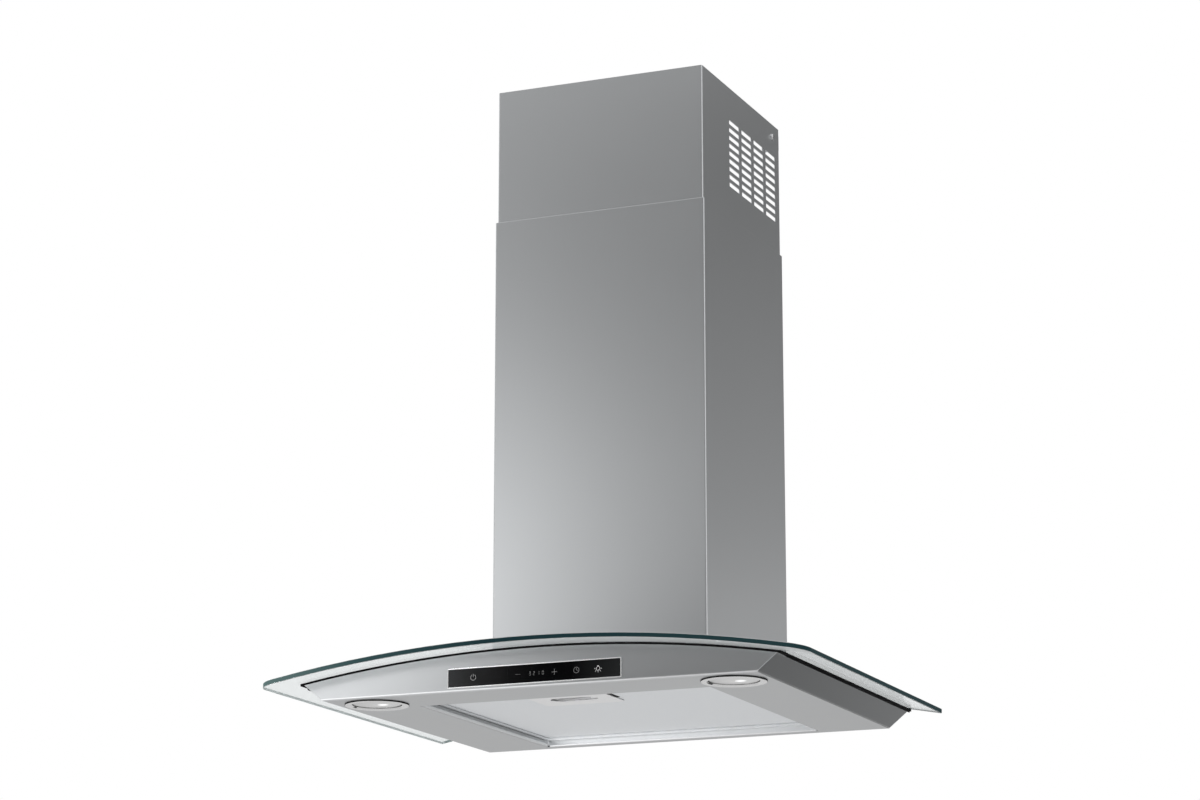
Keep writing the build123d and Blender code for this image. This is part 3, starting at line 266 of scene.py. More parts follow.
PLASTIC_GRAIN = 900.0
PLASTIC_DEPTH = 1.5e-5
PLASTIC_SMOOTHER = 0.06  # how far the grain takes the roughness down
PLASTIC_ROUGHER = 0.08  # and up
UNEVEN_SCALE = 14.0
UNEVEN_SPREAD = 0.08


def moulded(name, color, roughness, scale=PLASTIC_GRAIN, spread=UNEVEN_SPREAD, **sockets):
    """Plastic with a fine spark-eroded grain and slight unevenness of tone."""
    look = Look(name, color, **sockets)
    grain = look.noise(scale)
    if spread:
        look.tint(look.noise(UNEVEN_SCALE), spread)
    look.rough(grain, roughness - PLASTIC_SMOOTHER, roughness + PLASTIC_ROUGHER)
    return look.bump(grain, PLASTIC_DEPTH)


CHROME_ROUGHNESS = (0.12, 0.18)
CHROME_SMEARS = 60.0
CHROME_SPREAD = 0.02


def chrome(name, level):
    look = Look(name, grey(level), metallic=1.0)
    smears = look.noise(CHROME_SMEARS)
    look.tint(smears, CHROME_SPREAD)
    return look.rough(smears, *CHROME_ROUGHNESS)


GLASS_COLOR = (0.94, 0.965, 0.968)
GLASS_IOR = 1.06
GLASS_CLEAR = 0.84  # transmission weight of the faces
GLASS_DULL = 0.35  # the same in the duller part of the front border
GLASS_BORDER = (24.0 * MM, 30.0 * MM)  # from the front edge, where the border fades out
DULL_FROM, DULL_TO = 0.34, 0.60  # along the glass, where the border grows duller
FACE_FROM, FACE_TO = 0.35, 0.75  # upright part of the normal, from the cut edge to the faces
END_FROM, END_TO = 0.002, 0.008  # along the glass, where the pale left end, a painted highlight, stops
PAINTED_END_LIGHT = (0.70, 0.76, 0.755)
# The cut edge's dark green-blue is the glass's own tint; its lighter tone towards the left end is painted
# light.
EDGE_TINT_AND_PAINTED_LIGHT = (
    (0.0, (0.14, 0.22, 0.215)),
    (0.2, (0.04, 0.085, 0.09)),
    (0.45, (0.014, 0.038, 0.044)),
    (1.0, (0.022, 0.052, 0.058)),
)


def canopy_glass():
    """Clear glass whose cut edge shows the dark green-blue of the sheet's depth, with painted light: lighter
    towards the left end and pale at that end.
    """
    look = Look("canopy_glass", GLASS_COLOR, roughness=0.0, IOR=GLASS_IOR)
    geometry = look.node("NewGeometry")
    split = look.node("SeparateXYZ")
    look.link(geometry.outputs["Normal"], split.inputs[0])
    face = look.rise(look.math("ABSOLUTE", split.outputs["Z"]), FACE_FROM, FACE_TO)
    low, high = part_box("glass_canopy")
    x, y = look.axes()[0:2]
    along = look.rise(x, low.x, high.x)
    edge = look.mix(look.fall(along, END_FROM, END_TO), look.ramp(along, EDGE_TINT_AND_PAINTED_LIGHT), PAINTED_END_LIGHT)
    look.put("Base Color", look.mix(face, edge, GLASS_COLOR))
    inward = look.rise(y, *(low.y + reach for reach in GLASS_BORDER))
    border = look.span(along, GLASS_CLEAR, GLASS_DULL, DULL_FROM, DULL_TO)
    clear = look.math("MULTIPLY_ADD", inward, look.math("SUBTRACT", GLASS_CLEAR, border), border)
    return look.put("Transmission Weight", look.math("MULTIPLY", face, clear))


RUBBER_COLOR = (0.006, 0.006, 0.0065)
RUBBER_SHEEN = 0.06
RUBBER_ROUGHNESS = (0.7, 0.85)
RUBBER_GRAIN = 1400.0
RUBBER_DEPTH = 2e-5
RUBBER_UNEVEN = 20.0
RUBBER_SPREAD = 0.2


def rubber():
    look = Look("black_rubber", RUBBER_COLOR, Specular_IOR_Level=RUBBER_SHEEN)
    grain = look.noise(RUBBER_GRAIN)
    look.tint(look.noise(RUBBER_UNEVEN), RUBBER_SPREAD)
    look.rough(grain, *RUBBER_ROUGHNESS)
    return look.bump(grain, RUBBER_DEPTH)


PANEL_BLACK = (0.004, 0.004, 0.0045)
PANEL_END_TONES = (
    (0.0, (0.038, 0.039, 0.041)),
    (0.16, (0.014, 0.0145, 0.015)),
    (0.36, PANEL_BLACK),
    (0.72, PANEL_BLACK),
    (1.0, (0.024, 0.025, 0.026)),
)
PANEL_IOR = 1.45
PANEL_SHEEN = 0.2
PANEL_SMEARS = 28.0
PANEL_ROUGHNESS = (0.04, 0.10)


def touch_black():
    """Black glass, a little lighter towards its ends."""
    look = Look("black_panel_glass", PANEL_BLACK, IOR=PANEL_IOR, Specular_IOR_Level=PANEL_SHEEN)
    low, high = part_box("touch_glass")
    along = look.rise(look.axes()[0], low.x, high.x)
    look.put("Base Color", look.ramp(along, PANEL_END_TONES))
    return look.rough(look.noise(PANEL_SMEARS), *PANEL_ROUGHNESS)


BOARD_COLOR = (0.03, 0.17, 0.085)
TRACK_COLOR = (0.055, 0.27, 0.13)
TRACK_SCALE = 160.0
TRACK_STRETCH = (1, 1, 0.35)
TRACK_EDGE = (0.02, 0.06)
BOARD_ROUGHNESS = (0.38, 0.28)
TRACK_DEPTH = 3e-5


def circuit_board():
    look = Look("green_board", BOARD_COLOR)
    tracks = look.cells(TRACK_SCALE, "Distance", TRACK_STRETCH, "DISTANCE_TO_EDGE")
    copper = look.fall(tracks, *TRACK_EDGE)
    look.put("Base Color", look.mix(copper, BOARD_COLOR, TRACK_COLOR))
    look.rough(copper, *BOARD_ROUGHNESS)
    return look.bump(copper, TRACK_DEPTH)


WIRE_MIDDLE = 0.65  # height of a wire between its crossings
WIRE_SWING = 0.35  # how far it goes over and under
WIRE_PAINTED_SHADE = 0.72  # painted shade between the wires
WIRE_EDGE = (0.1, 0.6)  # heights between which the painted shade fades out
WIRE_SMEARS = 40.0


def woven(name, color, pitch, depth, roughness):
    """Plain weave of round wires, one over and one under, with painted shade where they lie low."""
    look = Look(name, color, metallic=1.0)
    x, y = look.axes()[0:2]
    warp = look.math("SINE", look.math("MULTIPLY", x, pi / pitch))
    weft = look.math("SINE", look.math("MULTIPLY", y, pi / pitch))
    parity = look.math("MULTIPLY", warp, weft)
    over = look.math("MULTIPLY_ADD", parity, WIRE_SWING, WIRE_MIDDLE)
    under = look.math("MULTIPLY_ADD", parity, -WIRE_SWING, WIRE_MIDDLE)
    height = look.math(
        "MAXIMUM",
        look.math("MULTIPLY", look.math("ABSOLUTE", warp), over),
        look.math("MULTIPLY", look.math("ABSOLUTE", weft), under),
    )
    dark = tuple(c * WIRE_PAINTED_SHADE for c in color)
    look.put("Base Color", look.mix(look.rise(height, *WIRE_EDGE), dark, color))
    look.rough(look.noise(WIRE_SMEARS), roughness - SATIN_SPREAD, roughness + SATIN_SPREAD)
    return look.bump(height, depth)


TURNED_STRETCH = (2500, 200, 200)
TURNED_DETAIL = 2.0
TURNED_SPREAD = 0.05  # of the tone
TURNED_SMOOTHER = 0.05  # how far the rings take the roughness down
TURNED_ROUGHER = 0.06  # and up
TURNED_DEPTH = 3e-6


def turned(name, color, roughness):
    """Ground or turned steel: fine rings round the piece."""
    look = Look(name, color, metallic=1.0)
    rings = look.noise(1.0, TURNED_STRETCH, TURNED_DETAIL)
    look.tint(rings, TURNED_SPREAD)
    look.rough(rings, roughness - TURNED_SMOOTHER, roughness + TURNED_ROUGHER)
    return look.bump(rings, TURNED_DEPTH)


PAINT_COLOR = (0.06, 0.063, 0.068)
PAINT_ROUGHNESS = (0.32, 0.46)
PAINT_PEEL = 300.0
PAINT_DEPTH = 1.5e-5
PAINT_UNEVEN = 25.0
PAINT_SPREAD = 0.15


def painted_motor():
    look = Look("motor_paint", PAINT_COLOR)
    peel = look.noise(PAINT_PEEL)
    look.tint(look.noise(PAINT_UNEVEN), PAINT_SPREAD)
    look.rough(peel, *PAINT_ROUGHNESS)
    return look.bump(peel, PAINT_DEPTH)


LENS_COLOR = (0.67, 0.67, 0.665)
LENS_ROUGHNESS = (0.3, 0.45)
LENS_GRAIN = 1500.0
LENS_DEPTH = 1.2e-5
LENS_UNEVEN = 90.0
LENS_SPREAD = 0.04
LENS_PAINTED_GLOW = 0.7
PAINTED_HIGHLIGHT_SHIFT = 0.25  # of the radius, to the right of the middle, where the painted highlight is brightest
GLOW = ((0.0, grey(1.0)), (0.13, grey(0.9)), (0.24, grey(0.16)), (1.0, grey(0.04)))


def lens(side):
    """Frosted lamp cover whose glow is a painted highlight, brightest a little to the right of its middle.
    """
    look = Look("frosted_lens_painted_highlight_" + side, LENS_COLOR, Emission_Strength=LENS_PAINTED_GLOW)
    low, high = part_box(side + "_lamp_lens")
    middle = (low + high) / 2
    reach = (high.x - low.x) / 2
    x, y = look.axes()[0:2]
    dx = look.math("SUBTRACT", x, middle.x + PAINTED_HIGHLIGHT_SHIFT * reach)
    dy = look.math("SUBTRACT", y, middle.y)
    squares = look.math("ADD", look.math("MULTIPLY", dx, dx), look.math("MULTIPLY", dy, dy))
    distance = look.math("DIVIDE", look.math("SQRT", squares), reach)
    look.put("Emission Color", look.ramp(distance, GLOW))
    look.tint(look.noise(LENS_UNEVEN), LENS_SPREAD)
    grain = look.noise(LENS_GRAIN)
    look.rough(grain, *LENS_ROUGHNESS)
    return look.bump(grain, LENS_DEPTH)


BODY_GRAIN = (30, 2200, 2200)  # brushed from side to side
COVER_GRAIN = (2200, 2200, 30)  # brushed up and down
SPRING_GRAIN = (60, 1500, 1500)
FRAME_GRAIN = (40, 1800, 1800)
STEEL_COLOR = (0.588, 0.602, 0.613)
STEEL_ROUGHNESS = 0.30
BOTTOM_COLOR = (0.485, 0.495, 0.502)
FOLD_PAINTED_HIGHLIGHT = (0.95, 0.96, 0.97)
COLLAR_PAINTED_LIGHT = (0.65, 0.665, 0.675)

# The bottom panel's fold round the filter, in shares of its height. Its bright tone is a painted highlight,
# and the lighter collar above it is painted light.
FOLD_HEIGHT = 7.0 * MM
FOLD_TONES = ((0.03, BOTTOM_COLOR), (0.14, FOLD_PAINTED_HIGHLIGHT), (0.45, FOLD_PAINTED_HIGHLIGHT), (0.60, COLLAR_PAINTED_LIGHT))
FOLD_MATT = ((0.05, grey(0)), (0.12, grey(1)), (0.42, grey(1)), (0.55, grey(0)))
FOLD_METALLIC = 0.15  # where the side folds are matt, so that their painted highlight also takes diffuse light
FOLD_BLEND = 1.0 * MM
REAR_BLEND = 3.0 * MM

# The front panel's lower fold, in shares of its height, with a painted highlight along it
FRONT_FOLD_HEIGHT = 3.0 * MM
FRONT_FOLD_TONES = ((0.03, STEEL_COLOR), (0.12, FOLD_PAINTED_HIGHLIGHT), (0.40, FOLD_PAINTED_HIGHLIGHT), (0.70, STEEL_COLOR))


def bottom_steel_painted_highlight():
    """Darker below. The fold round the filter and its rear wall carry a painted highlight, and the collar
    above it painted light.
    """
    look = brushed("bottom_stainless_painted_highlight", BOTTOM_COLOR, STEEL_ROUGHNESS, BODY_GRAIN, tinted=False)
    x, y, z = look.axes()
    low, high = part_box("filter_frame")
    level = look.rise(z, UNDERSIDE, UNDERSIDE + FOLD_HEIGHT)
    # painted highlight on the fold's rear wall, at every height
    behind = look.rise(y, high.y - REAR_BLEND, high.y)
    above = look.rise(z, UNDERSIDE, UNDERSIDE + FOLD_BLEND)
    tone = look.ramp(level, FOLD_TONES)
    look.put("Base Color", look.mix(look.math("MULTIPLY", behind, above), tone, FOLD_PAINTED_HIGHLIGHT))
    left = look.fall(x, low.x - FOLD_BLEND, low.x)
    right = look.rise(x, high.x, high.x + FOLD_BLEND)
    matt = look.math("MULTIPLY", look.math("MAXIMUM", left, right), look.ramp(level, FOLD_MATT))
    return look.put("Metallic", look.span(matt, 1.0, FOLD_METALLIC))


def front_steel_painted_highlight():
    """The front panel, with a painted highlight along its lower fold."""
    look = brushed("front_stainless_painted_highlight", STEEL_COLOR, STEEL_ROUGHNESS, BODY_GRAIN, tinted=False)
    level = look.rise(look.axes()[2], UNDERSIDE, UNDERSIDE + FRONT_FOLD_HEIGHT)
    return look.put("Base Color", look.ramp(level, FRONT_FOLD_TONES))


# The finger recess, from the latch housing's front edge
RECESS_MIDDLE = 21.0 * MM
RECESS_LENGTH = 52.0 * MM
RECESS_WIDTH = 22.0 * MM
RECESS_LIGHT = (0.84, 0.84, 0.85)
RECESS_DARK = (0.07, 0.07, 0.072)
SHADED_END = (2.0 * MM, 9.0 * MM)  # from its left end, where the shade fades out
SHADED_RIM = (8.0 * MM, 12.0 * MM)  # from its front
RIM_SHADE = (0.7, 0.15)  # at its left and right ends
SATIN_METALLIC = 0.8


def latch_grey():
    """Satin grey, dark where the finger recess shades it: at the left end and along the front."""
    look = moulded("grey_latch", RECESS_LIGHT, roughness=0.40, spread=0, metallic=SATIN_METALLIC)
    low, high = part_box("latch_housing")
    left = (low.x + high.x - RECESS_LENGTH) / 2
    front = low.y + RECESS_MIDDLE - RECESS_WIDTH / 2
    x, y = look.axes()[0:2]
    end = look.fall(x, *(left + reach for reach in SHADED_END))
    rim = look.fall(y, *(front + reach for reach in SHADED_RIM))
    rim = look.math("MULTIPLY", rim, look.span(x, *RIM_SHADE, left, left + RECESS_LENGTH))
    shade = look.math("MAXIMUM", end, rim)
    return look.put("Base Color", look.mix(shade, RECESS_LIGHT, RECESS_DARK))


CHROME_LEVEL = 0.82
TRIM_LEVEL = 0.97
SPRING_COLOR = (0.42, 0.42, 0.44)
BLACK_COLOR = (0.024, 0.024, 0.026)
FAN_COLOR = (0.030, 0.031, 0.034)
FAN_GRAIN = 500.0
SCREW_COLOR = (0.66, 0.66, 0.67)
SHAFT_COLOR = (0.60, 0.60, 0.61)
BOX_COLOR = (0.38, 0.39, 0.40)
SILVER_COLOR = (0.90, 0.90, 0.905)
WHITE_COLOR = (0.74, 0.74, 0.72)
CAST_COLOR = (0.58, 0.59, 0.60)
FRAME_COLOR = (0.86, 0.88, 0.895)
MESH_COLOR = (0.89, 0.91, 0.93)
MESH_PITCH = 1.1 * MM
MESH_DEPTH = 6e-5
MEDIA_COLOR = (0.66, 0.66, 0.67)
MEDIA_PITCH = 2.4 * MM
MEDIA_DEPTH = 3e-4

body_steel = brushed("body_stainless", STEEL_COLOR, STEEL_ROUGHNESS, BODY_GRAIN)
cover_steel = brushed("cover_stainless", STEEL_COLOR, STEEL_ROUGHNESS, COVER_GRAIN)
spring_steel = brushed("spring_steel", SPRING_COLOR, roughness=0.28, stretch=SPRING_GRAIN)
silver = moulded("silver_plastic", SILVER_COLOR, roughness=0.36, spread=0.03, metallic=SATIN_METALLIC)
rubber_and_painted_shade = rubber()

LOOKS = {
    "front_panel": front_steel_painted_highlight(),
    "left_side_panel right_side_panel": body_steel,
    "bottom_panel": bottom_steel_painted_highlight(),
    "lower_duct_cover upper_duct_cover": cover_steel,
    "rear_panel top_plate cover_stay left_upper_bracket right_upper_bracket motor_box motor_box_back "
    "motor_box_top motor_bracket": galvanised(),
    "latch_tongue latch_spring lamp_clips": spring_steel,
    "glass_canopy": canopy_glass(),
    "glass_gasket": rubber_and_painted_shade,
    "touch_bezel left_lamp_ring right_lamp_ring": chrome("polished_chrome", CHROME_LEVEL),
    "touch_glass": touch_black(),
    "touch_tray left_inlet_ring right_inlet_ring outlet_spigot left_flap right_flap "
    "cable_gland": moulded("black_plastic", BLACK_COLOR, roughness=0.42),
    "left_scroll right_scroll impeller "
    "impeller_blades": moulded("fan_plastic", FAN_COLOR, roughness=0.36, scale=FAN_GRAIN),
    "control_box control_lid": moulded("grey_plastic", BOX_COLOR, roughness=0.5),
    "latch_slider": latch_grey(),
    "latch_housing": silver,
    "capacitor": moulded("white_plastic", WHITE_COLOR, roughness=0.4, spread=0.04),
    "touch_board": circuit_board(),
    "filter_frame": brushed("filter_frame_aluminium", FRAME_COLOR, roughness=0.36, stretch=FRAME_GRAIN),
    "filter_face_mesh "
    "filter_back_mesh": woven("filter_mesh_aluminium", MESH_COLOR, MESH_PITCH, MESH_DEPTH, roughness=0.42),
    "filter_media": woven("filter_media_aluminium", MEDIA_COLOR, MEDIA_PITCH, MEDIA_DEPTH, roughness=0.5),
    "left_lamp_puck right_lamp_puck": moulded("cast_aluminium", CAST_COLOR, roughness=0.48, metallic=1.0),
    "left_lamp_lens": lens("left"),
    "right_lamp_lens": lens("right"),
    "motor_can": painted_motor(),
    "motor_shaft flap_axle filter_pegs": turned("ground_steel", SHAFT_COLOR, roughness=0.16),
    "upper_cover_screws motor_box_screws scroll_screws bracket_screws capacitor_nut lid_screws "
    "spigot_screws": turned("screw_steel", SCREW_COLOR, roughness=0.22),
}
for names, look in LOOKS.items():
    for name in names.split():
        NODES[name].data.materials.clear()
        NODES[name].data.materials.append(look.material)


# Pieces
def add_piece(name, look, shape, body):
    shape.materials.clear()
    shape.materials.append(look.material)
    piece = bpy.data.objects.new(name, shape)
    scene.collection.objects.link(piece)
    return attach(piece, body)


def flat_shape(name, look, outlines, thick, body):
    """Closed outlines in (x, y), filled and given a thickness."""
    curve = bpy.data.curves.new(name, "CURVE")
    curve.dimensions = "2D"
    curve.fill_mode = "BOTH"
    curve.extrude = thick / 2
    for outline in outlines:
        spline = curve.splines.new("POLY")
        spline.points.add(len(outline) - 1)
        for point, (x, y) in zip(spline.points, outline):
            point.co = (x, y, 0, 1)
        spline.use_cyclic_u = True
    drawn = bpy.data.objects.new(name + "_curve", curve)
    scene.collection.objects.link(drawn)
    bpy.context.view_layer.update()
    shape = bpy.data.meshes.new_from_object(drawn.evaluated_get(bpy.context.evaluated_depsgraph_get()))
    bpy.data.objects.remove(drawn)
    return add_piece(name, look, shape, body)


def loft(name, look, rings, body):
    """A skin through rings of points, the last ring joined to the first."""
    size = len(rings[0])
    points = [point for ring in rings for point in ring]
    faces = []
    for i in range(len(rings)):
        here, there = i * size, (i + 1) % len(rings) * size
        faces += [(here + j, here + (j + 1) % size, there + (j + 1) % size, there + j) for j in range(size)]
    shape = bpy.data.meshes.new(name)
    shape.from_pydata(points, [], faces)
    shape.shade_smooth()
    return add_piece(name, look, shape, body)


# Marks on the touch panel, in millimetres across and above the hood's underside
MARK_PROUD = 0.05 * MM
STROKE = 0.26
ARC_STEPS = 32
CIRCLE_STEPS = 40
INK_GLOW = 0.5  # back light, as a share of the ink's level
INK_GRAIN = 900.0
INK_SPREAD = 0.1
INK_SMEARS = 500.0
INK_ROUGHNESS = (0.45, 0.55)
touch_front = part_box("touch_glass")[0].y


def bar(x, z, width, height):
    left, right = x - width / 2, x + width / 2
    low, high = z - height / 2, z + height / 2
    return [(left, low), (right, low), (right, high), (left, high)]


def polar(x, z, radius, turn):
    return (x + radius * cos(turn), z + radius * sin(turn))


def ray(x, z, start, end, turn):
    """A straight stroke that points away from a middle."""
    ox, oz = polar(0, 0, STROKE / 2, turn + pi / 2)
    (x0, z0), (x1, z1) = polar(x, z, start, turn), polar(x, z, end, turn)
    return [(x0 - ox, z0 - oz), (x1 - ox, z1 - oz), (x1 + ox, z1 + oz), (x0 + ox, z0 + oz)]


def open_ring(x, z, radius, opening):
    """A ring's stroke, open at the top by an angle in degrees."""
    first, sweep = radians(90 + opening / 2), radians(360 - opening)
    turns = [first + sweep * i / ARC_STEPS for i in range(ARC_STEPS + 1)]
    outside = [polar(x, z, radius + STROKE / 2, t) for t in turns]
    inside = [polar(x, z, radius - STROKE / 2, t) for t in turns]
    return outside + inside[::-1]


def circle(x, z, radius, steps=CIRCLE_STEPS):
    return [polar(x, z, radius, 2 * pi * i / steps) for i in range(steps)]


def mark(name, look, outlines):
    """Flat printed outlines, a hair proud of the touch panel's front."""
    placed = [[(x * MM, z * MM + UNDERSIDE) for x, z in outline] for outline in outlines]
    piece = flat_shape(name, look, placed, MARK_PROUD, "hood")
    piece.rotation_euler = (radians(90), 0, 0)
    piece.location = (0, touch_front - MARK_PROUD / 2, 0)


def ink(name, level):
    """Back-lit white print."""
    look = Look(name, grey(level), Emission_Color=(1, 1, 1, 1), Emission_Strength=level * INK_GLOW)
    look.tint(look.noise(INK_GRAIN), INK_SPREAD)
    return look.rough(look.noise(INK_SMEARS), *INK_ROUGHNESS)


def power_mark(x, z, radius=2.9, opening=56, stem=3.0, lift=2.0):
    return [open_ring(x, z, radius, opening), bar(x, z + lift, STROKE, stem)]


def plus_mark(x, z, reach=2.9):
    w = STROKE / 2
    right = [(w, -reach), (w, -w), (reach, -w), (reach, w), (w, w), (w, reach)]
    left = [(-a, -b) for a, b in right]
    corners = left[-1:] + right + left[:-1]
    return [[(x + a, z + b) for a, b in corners]]


SEGMENTS = {"0": "abcdef", "1": "bc", "2": "abged", "3": "abgcd"}


def digit(character, x, z, width=2.0, height=4.0, stroke=0.45):
    """A seven-segment figure."""
    side, quarter = width / 2 - stroke / 2, height / 4
    level, upright = width - 2 * stroke, 2 * quarter - stroke
    places = {
        "a": (x, z + 2 * quarter - stroke / 2, level, stroke),
        "g": (x, z, level, stroke),
        "d": (x, z - 2 * quarter + stroke / 2, level, stroke),
        "b": (x + side, z + quarter, stroke, upright),
        "c": (x + side, z - quarter, stroke, upright),
        "f": (x - side, z + quarter, stroke, upright),
        "e": (x - side, z - quarter, stroke, upright),
    }
    return [bar(*places[s]) for s in SEGMENTS[character]]


def clock_mark(x, z, radius=3.0, upright=2.0, level=1.7, level_start=0.3, level_drop=0.25):
    """A ring with an upright and a level hand."""
    return [
        circle(x, z, radius),
        circle(x, z, radius - STROKE),
        bar(x, z + upright / 2, STROKE, upright),
        bar(x + level_start + level / 2, z - level_drop, level, STROKE),
    ]


def lamp_mark(x, z, bulb=1.9, opening=60, base=(1.3, 0.8), lift=2.4, rays=5, start=2.9, end=4.1):
    """A bulb that hangs from its base, with rays to the sides and below."""
    turns = [pi + pi * i / (rays - 1) for i in range(rays)]
    strokes = [ray(x, z, start, end, turn) for turn in turns]
    return [open_ring(x, z, bulb, opening), bar(x, z + lift, *base)] + strokes


bright_ink = ink("bright_ink", 0.95)
plain_ink = ink("plain_ink", 0.42)
soft_ink = ink("soft_ink", 0.25)
dim_ink = ink("dim_ink", 0.10)

POWER_PLACE = (-66.7, 13.4)
MINUS_PLACE = (-17.1, 13.3)
MINUS_LENGTH = 5.5
DIGITS = (("3", -4.0), ("2", 0.5), ("1", 5.4), ("0", 10.4))  # with their places across
DIGITS_LEVEL = 13.4
PLUS_PLACE = (22.9, 13.3)
CLOCK_PLACE = (46.9, 13.6)
LAMP_PLACE = (70.5, 13.7)

mark("touch_mark_power", plain_ink, power_mark(*POWER_PLACE))
mark("touch_mark_minus", dim_ink, [bar(*MINUS_PLACE, MINUS_LENGTH, STROKE)])
mark("touch_mark_digits", dim_ink, [segment for c, x in DIGITS for segment in digit(c, x, DIGITS_LEVEL)])
mark("touch_mark_plus", soft_ink, plus_mark(*PLUS_PLACE))
mark("touch_mark_clock", soft_ink, clock_mark(*CLOCK_PLACE))
mark("touch_mark_lamp", bright_ink, lamp_mark(*LAMP_PLACE))


# The touch panel's bezel, drawn again with a rounded face
BEZEL_BORDER = 1.2 * MM
BEZEL_CORNER = 1.5 * MM
BEZEL_STEPS = 10


def rounded_path(low, high, corner):
    """Points and outward directions round a rectangle in (x, z)."""
    path = []
    for sx, sz, first in ((1, 1, 0), (-1, 1, 90), (-1, -1, 180), (1, -1, 270)):
        cx = (high.x if sx > 0 else low.x) - sx * corner
        cz = (high.z if sz > 0 else low.z) - sz * corner
        for i in range(BEZEL_STEPS + 1):
            turn = radians(first + 90 * i / BEZEL_STEPS)
            path.append((polar(cx, cz, corner, turn), (cos(turn), sin(turn))))
    return path


def rounded_bezel(look):
    low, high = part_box("touch_bezel")
    half = BEZEL_BORDER / 2
    crown = [radians(180 * i / BEZEL_STEPS) for i in range(BEZEL_STEPS + 1)]
    profile = [(-half + half * cos(a), low.y + half - half * sin(a)) for a in crown]
    profile = [(0, high.y)] + profile + [(-BEZEL_BORDER, high.y)]
    rings = [
        [(x + across * dx, y, z + across * dz) for across, y in profile]
        for (x, z), (dx, dz) in rounded_path(low, high, BEZEL_CORNER)
    ]
    piece = loft("touch_bezel_rounded", look, rings, "hood")
    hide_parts("touch_bezel")


rounded_bezel(chrome("bright_trim", TRIM_LEVEL))

# Painted shade at the lamps: a black band under each trim ring's edge stands in for the dark gap there, and
# a flat black ring round its lens for the dark ring seen inside the trim
SHADE_BAND_STEPS = 128
SHADE_BAND_PROUD = 0.2 * MM
SHADE_BAND_TOP = 0.05 * MM
SHADE_BAND_DROP = 1.1 * MM
LENS_SHADE_BAND_RADII = (25.1 * MM, 26.2 * MM)
LENS_SHADE_BAND_THICK = 0.1 * MM


def round_band(name, look, middle, radii, top, thick):
    """A thin band of square section round an upright axis."""
    inner, outer = radii
    low = top - thick
    profile = [(inner, top), (outer, top), (outer, low), (inner, low)]
    rings = []
    for step in range(SHADE_BAND_STEPS):
        turn = 2 * pi * step / SHADE_BAND_STEPS
        rings.append([(*polar(middle.x, middle.y, r, turn), z) for r, z in profile])
    loft(name, look, rings, "hood")


def lamp_shade_bands(side, look):
    low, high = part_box(side + "_lamp_ring")
    middle = (low + high) / 2
    edge = (high.x - low.x) / 2
    ring_radii = (edge, edge + SHADE_BAND_PROUD)
    round_band(side + "_lamp_shade_band", look, middle, ring_radii, UNDERSIDE - SHADE_BAND_TOP, SHADE_BAND_DROP)
    lens_top = UNDERSIDE + LENS_SHADE_BAND_THICK / 2
    round_band(side + "_lens_shade_band", look, middle, LENS_SHADE_BAND_RADII, lens_top, LENS_SHADE_BAND_THICK)


for lamp_side in ("left", "right"):
    lamp_shade_bands(lamp_side, rubber_and_painted_shade)

# The gasket's outer lips, which hang over the side panels' upper edges: partly the real gasket, partly
# painted shade that thickens the dark gap below it
LIP_WIDTH = 1.2 * MM
LIP_DROP = 1.6 * MM
LIP_OVERLAP = 0.2 * MM
LIP_FRONT = 16.0 * MM  # from the gasket's front edge
LIP_REAR = 5.0 * MM  # from its rear edge


def gasket_lips_and_shade(look):
    low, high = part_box("glass_gasket")
    front, rear = low.y + LIP_FRONT, high.y - LIP_REAR
    thick = LIP_DROP + LIP_OVERLAP
    for side, left in (("left", low.x), ("right", high.x - LIP_WIDTH)):
        right = left + LIP_WIDTH
        outline = [(left, front), (right, front), (right, rear), (left, rear)]
        piece = flat_shape(side + "_gasket_shade_lip", look, [outline], thick, "hood")
        piece.location = (0, 0, low.z + (LIP_OVERLAP - LIP_DROP) / 2)


gasket_lips_and_shade(rubber_and_painted_shade)

# Painted shadow: a thin black strip beside the latch housing stands in for the shaded gap at its right side
GAP_SHADOW_WIDTH = 3.6 * MM
GAP_SHADOW_START = 49.0 * MM  # in front of the housing's rear edge
GAP_SHADOW_END = 24.0 * MM  # the same
GAP_SHADOW_CLEARANCE = 0.06 * MM  # to the housing
GAP_SHADOW_THICK = 0.06 * MM
GAP_SHADOW_STEPS = 12


def latch_gap_shadow(look):
    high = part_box("latch_housing")[1]
    half = GAP_SHADOW_WIDTH / 2
    middle = high.x + half + GAP_SHADOW_CLEARANCE
    turns = [pi * i / GAP_SHADOW_STEPS for i in range(GAP_SHADOW_STEPS + 1)]
    outline = [polar(middle, high.y - GAP_SHADOW_END, half, t) for t in turns]
    outline += [polar(middle, high.y - GAP_SHADOW_START, -half, t) for t in turns]
    piece = flat_shape("latch_gap_shadow", look, [outline], GAP_SHADOW_THICK, "filter")
    piece.location = (0, 0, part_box("filter_face_mesh")[0].z - GAP_SHADOW_THICK / 2)


latch_gap_shadow(rubber_and_painted_shade)

# The latch's bow spring, which the slider presses flatter
SPRING_GAUGE = 0.5 * MM
SPRING_STEPS = 24


